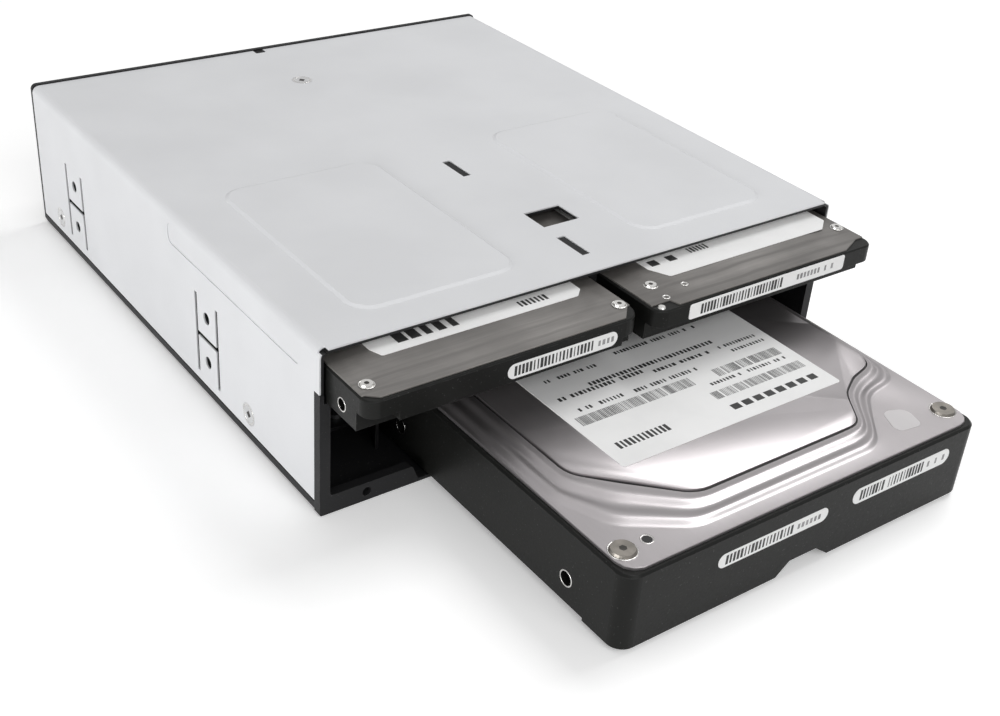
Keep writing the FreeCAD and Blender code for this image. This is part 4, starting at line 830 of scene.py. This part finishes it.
# ---- labels and their print ----
FACE_LABELS = {  # each label's span x0, x1, z0, z1 from its drive's left lower edge
    "large": ((23.7, 54.6, 10.2, 13.7), (62.0, 93.0, 10.6, 14.6)),
    "left": ((33.4, 62.6, 3.2, 6.8),),
    "right": ((9.2, 59.4, 4.3, 8.2),),
}
FACE_BARS = {  # code from x0 to x1, then small marks from x0 to x1
    "large": (((26.0, 44.0), (46.0, 52.0)), ((64.5, 84.0), (86.0, 91.0))),
    "left": (((35.4, 55.6), (57.6, 61.2)),),
    "right": (((13.0, 39.0), (43.6, 55.2)),),
}
FACE_CODE = Bars(0.95, 0.22, 0.75, 0.08, 3)
FACE_MARK = Bars(1.1, 0.45, 0.7, 0.1, 5)
FACE_CODE_HEIGHT = 0.66  # share of the label's height
FACE_MARK_HEIGHT = 0.55  # share of the code's height


def make_face_labels(drive):
    """Thin labels with round ends on a drive's front face, and their print."""
    body = drive + "_drive"
    origin = drive_box(drive)[0]
    sheets, codes, marks = [], [], []
    for i, ((x0, x1, z0, z1), spans) in enumerate(zip(FACE_LABELS[drive], FACE_BARS[drive])):
        radius = 0.7 if drive == "right" else (z1 - z0) / 2 * 0.98
        loop = rounded_loop([(x0, z0, radius), (x1, z0, radius), (x1, z1, radius), (x0, z1, radius)])
        stack = [[(origin.x + p.x, origin.y - depth, origin.z + p.y) for p in loop]
            for depth in (0.0, LABEL_SHEET)]
        sheets.append(piece_from(f"{drive}_face_label_{i + 1}", *shell_of(stack),
            (body, "label_white", FINISHES["label_white"]), SHEET_SMOOTH))
        middle, front = origin.z + (z0 + z1) / 2, origin.y - LABEL_SHEET
        tall = (z1 - z0) * FACE_CODE_HEIGHT
        for (a, b), rows, height in zip(spans, (codes, marks), (tall, tall * FACE_MARK_HEIGHT)):
            rows.append(((origin.x + a, front, middle), (origin.x + b, front, middle), (0, 0, height)))
    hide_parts("large_drive_end_labels" if drive == "large" else drive + "_drive_end_label")
    rows_of_bars(drive + "_face_codes", codes, (body, "label_white", INK), FACE_CODE, PRINT_SHEET)
    rows_of_bars(drive + "_face_marks", marks, (body, "label_white", GREY_INK), FACE_MARK, PRINT_SHEET)


def print_rows(name, drive, rows, material, bars):
    """Rows of neutral bars on top of a drive; a row is x0, x1, y and its height."""
    origin = drive_box(drive)[0]
    top = levels_of(drive + "_drive_label")[1]
    lines = [((origin.x + x0, origin.y + y, top), (origin.x + x1, origin.y + y, top), (0, tall, 0))
        for x0, x1, y, tall in rows]
    rows_of_bars(name, lines, (drive + "_drive", "label_white", material), bars, PRINT_SHEET)


LARGE_PRINT = {  # rows, ink and bars of each kind of print
    "codes": ([(22.4, 54.2, 42.8, 3.2), (54.6, 82.0, 35.7, 2.8), (61.6, 81.2, 42.6, 3.0),
        (26.0, 78.0, 100.0, 4.0)], GREY_INK, Bars(0.46, 0.25, 1.0, 0.05, 11)),
    "bold": ([(24.2, 37.4, 32.0, 2.3), (24.0, 47.0, 51.6, 1.3), (33.8, 69.8, 53.3, 1.3),
        (50.0, 66.0, 50.2, 1.1)], INK, Bars(1.12, 0.45, 0.78, 0.06, 12)),
    "rows": ([(25.4, 37.0, 46.4, 1.2), (40.0, 58.6, 46.2, 1.2), (57.6, 81.2, 39.6, 1.0),
        (72.0, 82.6, 47.9, 1.0), (70.0, 82.0, 50.4, 1.0), (25.5, 40.4, 58.8, 1.1),
        (47.0, 71.0, 60.6, 1.1), (58.0, 81.0, 63.0, 1.1), (26.0, 80.0, 67.0, 1.0),
        (26.0, 74.0, 70.0, 1.0), (26.0, 79.0, 73.0, 1.0), (26.0, 60.0, 76.0, 1.0),
        (26.0, 77.0, 92.0, 1.2), (26.0, 70.0, 108.0, 1.2)], INK, Bars(0.92, 0.4, 0.75, 0.14, 13)),
    "blocks": ([(56.2, 80.0, 30.4, 1.9)], INK, Bars(3.3, 0.66, 0.74, 0.0, 14)),
}
SMALL_LINES = [(14.0, 60.0, y, 1.0) for y in (26.0, 29.0, 32.0, 38.0, 41.0, 66.0, 69.0)]
SMALL_PRINT = {  # rows of bold blocks, of small bars and of codes
    "left": ([(17.6, 30.6, 16.9, 4.0)], [(47.6, 54.4, 15.6, 2.2)], [(14.0, 56.0, 58.0, 4.0)]),
    "right": ([(13.0, 18.4, 17.2, 2.4)], [(24.8, 30.0, 18.0, 2.2)], [(16.0, 58.0, 60.0, 4.0)]),
}


def make_large_print():
    for kind, (rows, ink, bars) in LARGE_PRINT.items():
        print_rows("large_label_" + kind, "large", rows, ink, bars)


def make_small_print(side):
    blocks, lines, codes = SMALL_PRINT[side]
    print_rows(side + "_label_blocks", side, blocks, INK, Bars(3.1, 0.5, 0.9, 0.0, 21))
    print_rows(side + "_label_rows", side, lines + SMALL_LINES, INK, Bars(1.0, 0.4, 0.75, 0.12, 22))
    print_rows(side + "_label_codes", side, codes, GREY_INK, Bars(0.5, 0.25, 1.0, 0.05, 23))


def make_cover_sticker():
    """Pale blank sticker in the front right corner of the 3.5 inch drive's cover."""
    origin = drive_box("large")[0]
    height = levels_of("large_drive_cover")[0] + LARGE_RIM
    loop = rounded_loop([(81.4, 6.4, 1.6), (88.6, 5.2, 2.0), (90.4, 11.4, 2.4), (84.6, 13.8, 2.4)])
    stack = [set_down(origin, loop, height + lift) for lift in (-0.05, 0.07)]
    piece_from("cover_sticker", *shell_of(stack), ("large_drive", "label_white", STICKER), SHEET_SMOOTH)


# ---- screws, rims and contacts ----
def make_drive_screws(drive, places, seat, radius, height, metal, recess):
    """Heads with painted shade for the driver recess and a painted highlight ring round each."""
    body = drive + "_drive"
    node = drive + "_drive_cover_screws"
    origin = drive_box(drive)[0]
    spots = [upright(origin, places, level) for level in (seat, seat + height - 0.02, seat + 0.02)]
    made = heads(drive + "_screw_heads", spots[0], (body, "torx_steel", metal), radius, height)
    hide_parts(node)
    # painted shade: a flat dark hexagon stands in for the driver recess
    heads(drive + "_screw_recesses", spots[1], (body, "torx_steel", PAINTED_RECESS_SHADE), radius=recess,
        height=0.035, sides=6)
    # painted highlight: a bright ring round each head
    rings(drive + "_screw_highlight_rings", spots[2], (body, "torx_steel", BRIGHT_METAL_AND_HIGHLIGHT),
        radius=radius + RIM_GAP, width=0.26, height=0.12)


def make_all_drive_screws():
    size = drive_box("large")[1]
    places = [(x, y) for x in (4.3, size.x - 4.3) for y in (6.9, size.y - 6.9)]
    make_drive_screws("large", places, levels_of("large_drive_cover")[0] + LARGE_RIM, radius=2.75,
        height=0.6, metal=FINISHES["torx_steel"], recess=0.9)
    for side, left_inset, right_inset, front in (("left", 3.2, 2.6, 5.6), ("right", 6.2, 2.6, 10.2)):
        size = drive_box(side)[1]
        places = [(x, y) for x in (left_inset, size.x - right_inset) for y in (front, size.y - 12.0)]
        make_drive_screws(side, places, levels_of(side + "_drive_cover")[1] - 0.42, radius=1.45,
            height=0.4, metal=BRIGHT_METAL_AND_HIGHLIGHT, recess=0.62)


def make_right_cover_marks():
    """Screw in the notch at the right drive's front corner, and two bright rings beside it, painted
    highlights of pressed rings.
    """
    origin = drive_box("right")[0]
    low = levels_of("right_drive_cover")[0]
    look = ("right_drive", "torx_steel", BRIGHT_METAL_AND_HIGHLIGHT)
    heads("right_corner_screw", upright(origin, [(2.3, 1.9)], low), look, radius=0.95, height=0.3,
        taper=0.8, sides=20)
    pips = upright(origin, [(6.0, 4.6)], low + SMALL_RIM) + upright(origin, [(13.4, 6.8)], low + 0.62)
    rings("right_cover_pip_highlights", pips, look, radius=0.75, width=0.4, height=0.1)


SIDE_HOLES = {  # places ahead of the drive's rear, height and radius of its side holes
    "large": ((130.1, 70.1, 28.5), 6.35, 1.6),
    "left": ((90.6, 14.0), 3.0, 1.3),
    "right": ((90.6, 14.0), 3.0, 1.3),
}


def make_side_hole_rims():
    """Bright machined rims of the threaded holes in the drives' sides."""
    for drive, (insets, height, bore) in SIDE_HOLES.items():
        origin, size = drive_box(drive)
        places = [((origin.x + x, origin.y + size.y - inset, origin.z + height), (sign, 0, 0))
            for sign, x in ((-1, 0.0), (1, size.x)) for inset in insets]
        rings(drive + "_side_hole_rims", places, (drive + "_drive", "torx_steel", BRIGHT_METAL_AND_HIGHLIGHT),
            radius=bore + RIM_GAP, width=RIM_STOCK, height=0.06)


def make_cage_screw_faces():
    """Painted shade for the driver recesses, and painted highlight rims, of the cage's countersunk screws.
    """
    for node, name in (("cover_side_screws", "side_screw"), ("cover_top_screw", "top_screw")):
        low, high = box_of(node)
        if name == "side_screw":
            reach = (high.z - low.z) / 2
            places = [((x, y, (low.z + high.z) / 2), (sign, 0, 0))
                for sign, x in ((-1, low.x), (1, high.x)) for y in (low.y + reach, high.y - reach)]
        else:
            reach = (high.x - low.x) / 2
            places = [(((low.x + high.x) / 2, (low.y + high.y) / 2, high.z), UP)]
        sunk, lifted = ([(Vector(point) - Vector(way) * depth, way) for point, way in places]
            for depth in (0.6, 0.04))
        faces = heads(name + "_faces", sunk, ("cage", "zinc_steel", FINISHES["zinc_steel"]), radius=reach,
            height=0.57, taper=0.98)
        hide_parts(node)
        # painted shade: a flat dark square stands in for the driver recess
        heads(name + "_recesses", lifted, ("cage", "zinc_steel", PAINTED_RECESS_SHADE),
            radius=reach * 0.36, height=0.02, sides=4)
        # painted highlight: a bright rim on each head
        rings(name + "_rims", lifted, ("cage", "zinc_steel", BRIGHT_METAL_AND_HIGHLIGHT), radius=reach * 0.8,
            width=RIM_STOCK, height=0.035)


BLADE_SPANS = ((-17.2, -6.8), (-3.4, 17.2))  # data and power blade from a connector's middle
BLADE_MARGIN = 1.4
CONTACTS = Bars(CONTACT_PITCH, 0.6, 0.6, 0.0, 1)


def contact_row(middle, room, y, z, length):
    """Whole contacts that fit in some room round a middle, as a row."""
    count = int(room / CONTACT_PITCH)
    start = middle - count * CONTACT_PITCH / 2
    return (start, y, z), (start + count * CONTACT_PITCH + 0.05, y, z), (0, length, 0)


def blade_rows(middle, y, z, length):
    """One row of contacts on each blade of a drive connector."""
    return [contact_row(middle + (x0 + x1) / 2, x1 - x0 - BLADE_MARGIN, y, z, length)
        for x0, x1 in BLADE_SPANS]


def make_contacts():
    """Gold contacts of the drive connectors, of their sockets and of the rear ports."""
    def gold(name, rows, body):
        rows_of_bars(name, rows, (body, "socket_black", GOLD), CONTACTS, CONTACT_SHEET)

    for drive in ("large", "left", "right"):
        low, high = box_of(drive + "_drive_connector")
        gold(drive + "_drive_contacts", blade_rows((low.x + high.x) / 2, high.y - 2.9,
            (low.z + high.z) / 2 + 0.6, 3.4), drive + "_drive")
    rows = []
    for node in ("large_drive_socket", "small_drive_socket_left", "small_drive_socket_right"):
        low, high = box_of(node)
        rows += blade_rows((low.x + high.x) / 2, low.y + 2.4, low.z + 2.25 - 0.92, 3.6)
    gold("socket_contacts", rows, "cage")
    rows = []
    for node in ("data_port_left", "data_port_right", "large_data_port", "upper_power_port",
            "lower_power_port"):
        low, high = box_of(node)
        rows.append(contact_row((low.x + high.x) / 2, 2 * ((high.x - low.x) / 2 - 3.8), high.y - 2.6,
            low.z + 3.2 + 0.6, 2.6))
    gold("port_contacts", rows, "cage")


SMALL_PARTS = (  # x0, x1 and distance from the upper board's front of each row
    (-30.0, -14.0, 24.6), (8.0, 30.0, 27.0), (48.0, 60.0, 30.5), (-58.0, -44.0, 27.4))
PAD_COLUMNS, PAD_ROWS = 9, 4


def make_board_parts():
    """Rows of small parts on the upper board, and test pads under the drives' boards."""
    low, high = box_of("upper_board")
    rows = [((x0, low.y + y, high.z), (x1, low.y + y, high.z), (0, 1.0, 0)) for x0, x1, y in SMALL_PARTS]
    rows_of_bars("upper_board_small_parts", rows, ("cage", "chip_black", FINISHES["chip_black"]),
        Bars(2.6, 0.5, 0.75, 0.15, 7), 0.9)
    for drive in ("large", "left", "right"):
        low, high = box_of(drive + "_drive_board")
        width, length = high.x - low.x, high.y - low.y
        places = [((low.x + width * (0.12 + 0.095 * column),
            low.y + length * (0.62 + 0.07 * row) + 0.9 * math.sin(3.7 * column + row), low.z),
            (0, 0, -1)) for column in range(PAD_COLUMNS) for row in range(PAD_ROWS)]
        heads(drive + "_board_test_pads", places, (drive + "_drive", "board_green", GOLD), radius=0.55,
            height=0.03, taper=0.95, sides=12)


# ---- camera, lamps and floor ----
LENS = 50.18  # millimetres, on a sensor 36 wide
CAMERA_PLACE = (-188.06, -282.19, 185.62)
CAMERA_HEADING = 38.199  # degrees from +Y towards +X
CAMERA_DROP = 31.729  # degrees below the horizon
CAMERA_ROLL = 4.571
MIDDLE = (0.0, -0.02, 0.02)  # what the lamps face; lamps are in metres and watts
LAMPS = {  # place, width and height, power
    "key_softbox": ((0.66, 0.02, 0.95), (0.55, 0.55), 4.9),
    "side_softbox": ((-1.15, -0.25, 0.16), (0.9, 0.25), 7.0),
    "front_softbox": ((-0.1, -1.15, 0.85), (0.9, 0.6), 5.2),
}
ROOM_LIGHT = 0.365  # what the white room throws on things; 1 is what is seen of it
STUDIO_BANDS = (  # how bright mirrored light is, by how far up it comes from
    (0.0, 0.55), (0.30, 0.62), (0.50, 0.80), (0.60, 0.84), (0.70, 0.62), (0.80, 0.80), (0.90, 1.0),
    (1.0, 1.0))
FLOOR_REACH = 6.0  # metres
FLOOR_DROP = 0.0002
FLOOR_TONE = 0.75
FLOOR_LIFT = (0.25, 1.2, 0.25, 0.62)  # glow seen from near the middle to far out


def make_camera():
    data = bpy.data.cameras.new("camera")
    data.lens = LENS
    data.sensor_width = 36.0
    data.clip_start = 0.01
    camera = bpy.data.objects.new("camera", data)
    bpy.context.collection.objects.link(camera)
    placed = Matrix.Translation(Vector(CAMERA_PLACE) * MM)
    for degrees, axis in ((-CAMERA_HEADING, "Z"), (90.0 - CAMERA_DROP, "X"), (CAMERA_ROLL, "Z")):
        placed = placed @ Matrix.Rotation(math.radians(degrees), 4, axis)
    camera.matrix_world = placed
    bpy.context.scene.camera = camera
    bpy.context.scene.view_settings.view_transform = "Standard"


def make_lamps():
    for name, (place, size, power) in LAMPS.items():
        data = bpy.data.lights.new(name, "AREA")
        data.shape = "RECTANGLE"
        data.size, data.size_y = size
        data.energy = power
        lamp = bpy.data.objects.new(name, data)
        bpy.context.collection.objects.link(lamp)
        lamp.location = place
        lamp.rotation_euler = (Vector(MIDDLE) - Vector(place)).to_track_quat("-Z", "Y").to_euler()


def seen_by_camera(shade):
    """1 for camera, mirror and glass rays, 0 for light that falls on things."""
    path = shade.node("ShaderNodeLightPath").outputs
    seen = shade.maths("MAXIMUM", path["Is Camera Ray"], path["Is Glossy Ray"])
    return shade.maths("MAXIMUM", seen, path["Is Transmission Ray"])


def make_world():
    """White studio; polished metal also meets the darker gap between wall and ceiling panel."""
    world = bpy.data.worlds.new("studio")
    world.use_nodes = True
    bpy.context.scene.world = world
    shade = Shading(world.node_tree)
    direction = shade.node("ShaderNodeTexCoord").outputs["Generated"]
    ramp = shade.node("ShaderNodeValToRGB", {"Fac": shade.parts(direction)[2]})
    stops = ramp.color_ramp.elements
    for place, _ in STUDIO_BANDS[1:-1]:
        stops.new(place)
    for stop, (_, level) in zip(stops, STUDIO_BANDS):
        stop.color = rgba(level)
    path = shade.node("ShaderNodeLightPath").outputs
    mirrored = shade.product(path["Is Glossy Ray"], shade.maths("SUBTRACT", 1.0, path["Is Camera Ray"]))
    shade.feed(world.node_tree.nodes["Background"],
        {"Color": shade.blend(mirrored, 1.0, ramp.outputs["Color"]),
            "Strength": shade.spread(seen_by_camera(shade), 0.0, 1.0, ROOM_LIGHT, 1.0)})


def make_floor():
    mesh = bpy.data.meshes.new("floor")
    height = cad_low[2] - FLOOR_DROP
    mesh.from_pydata([(x * FLOOR_REACH, y * FLOOR_REACH, height)
        for x, y in ((-1, -1), (1, -1), (1, 1), (-1, 1))], [], [(0, 1, 2, 3)])
    floor = bpy.data.objects.new("floor", mesh)
    bpy.context.collection.objects.link(floor)
    shade = Surface("floor_white")
    seen = seen_by_camera(shade)
    lift = shade.spread(shade.measured("LENGTH", shade.place()), *FLOOR_LIFT)
    from_below = shade.node("ShaderNodeNewGeometry").outputs["Backfacing"]
    mesh.materials.append(shade.finish(
        shade.blend(seen, FLOOR_TONE, 1.0), 1.0, Emission_Color=rgba(1.0),
        Emission_Strength=shade.product(seen, lift),
        Alpha=shade.maths("SUBTRACT", 1.0, from_below), Specular_IOR_Level=0.0))


dress_frame_nodes()
make_large_cover()
for one_side in ("left", "right"):
    make_small_cover(one_side)
    make_small_print(one_side)
for one_drive in ("large", "left", "right"):
    make_face_labels(one_drive)
make_large_print()
make_cover_sticker()
make_all_drive_screws()
make_right_cover_marks()
make_side_hole_rims()
make_cage_screw_faces()
make_contacts()
make_board_parts()
make_camera()
make_lamps()
make_world()
make_floor()
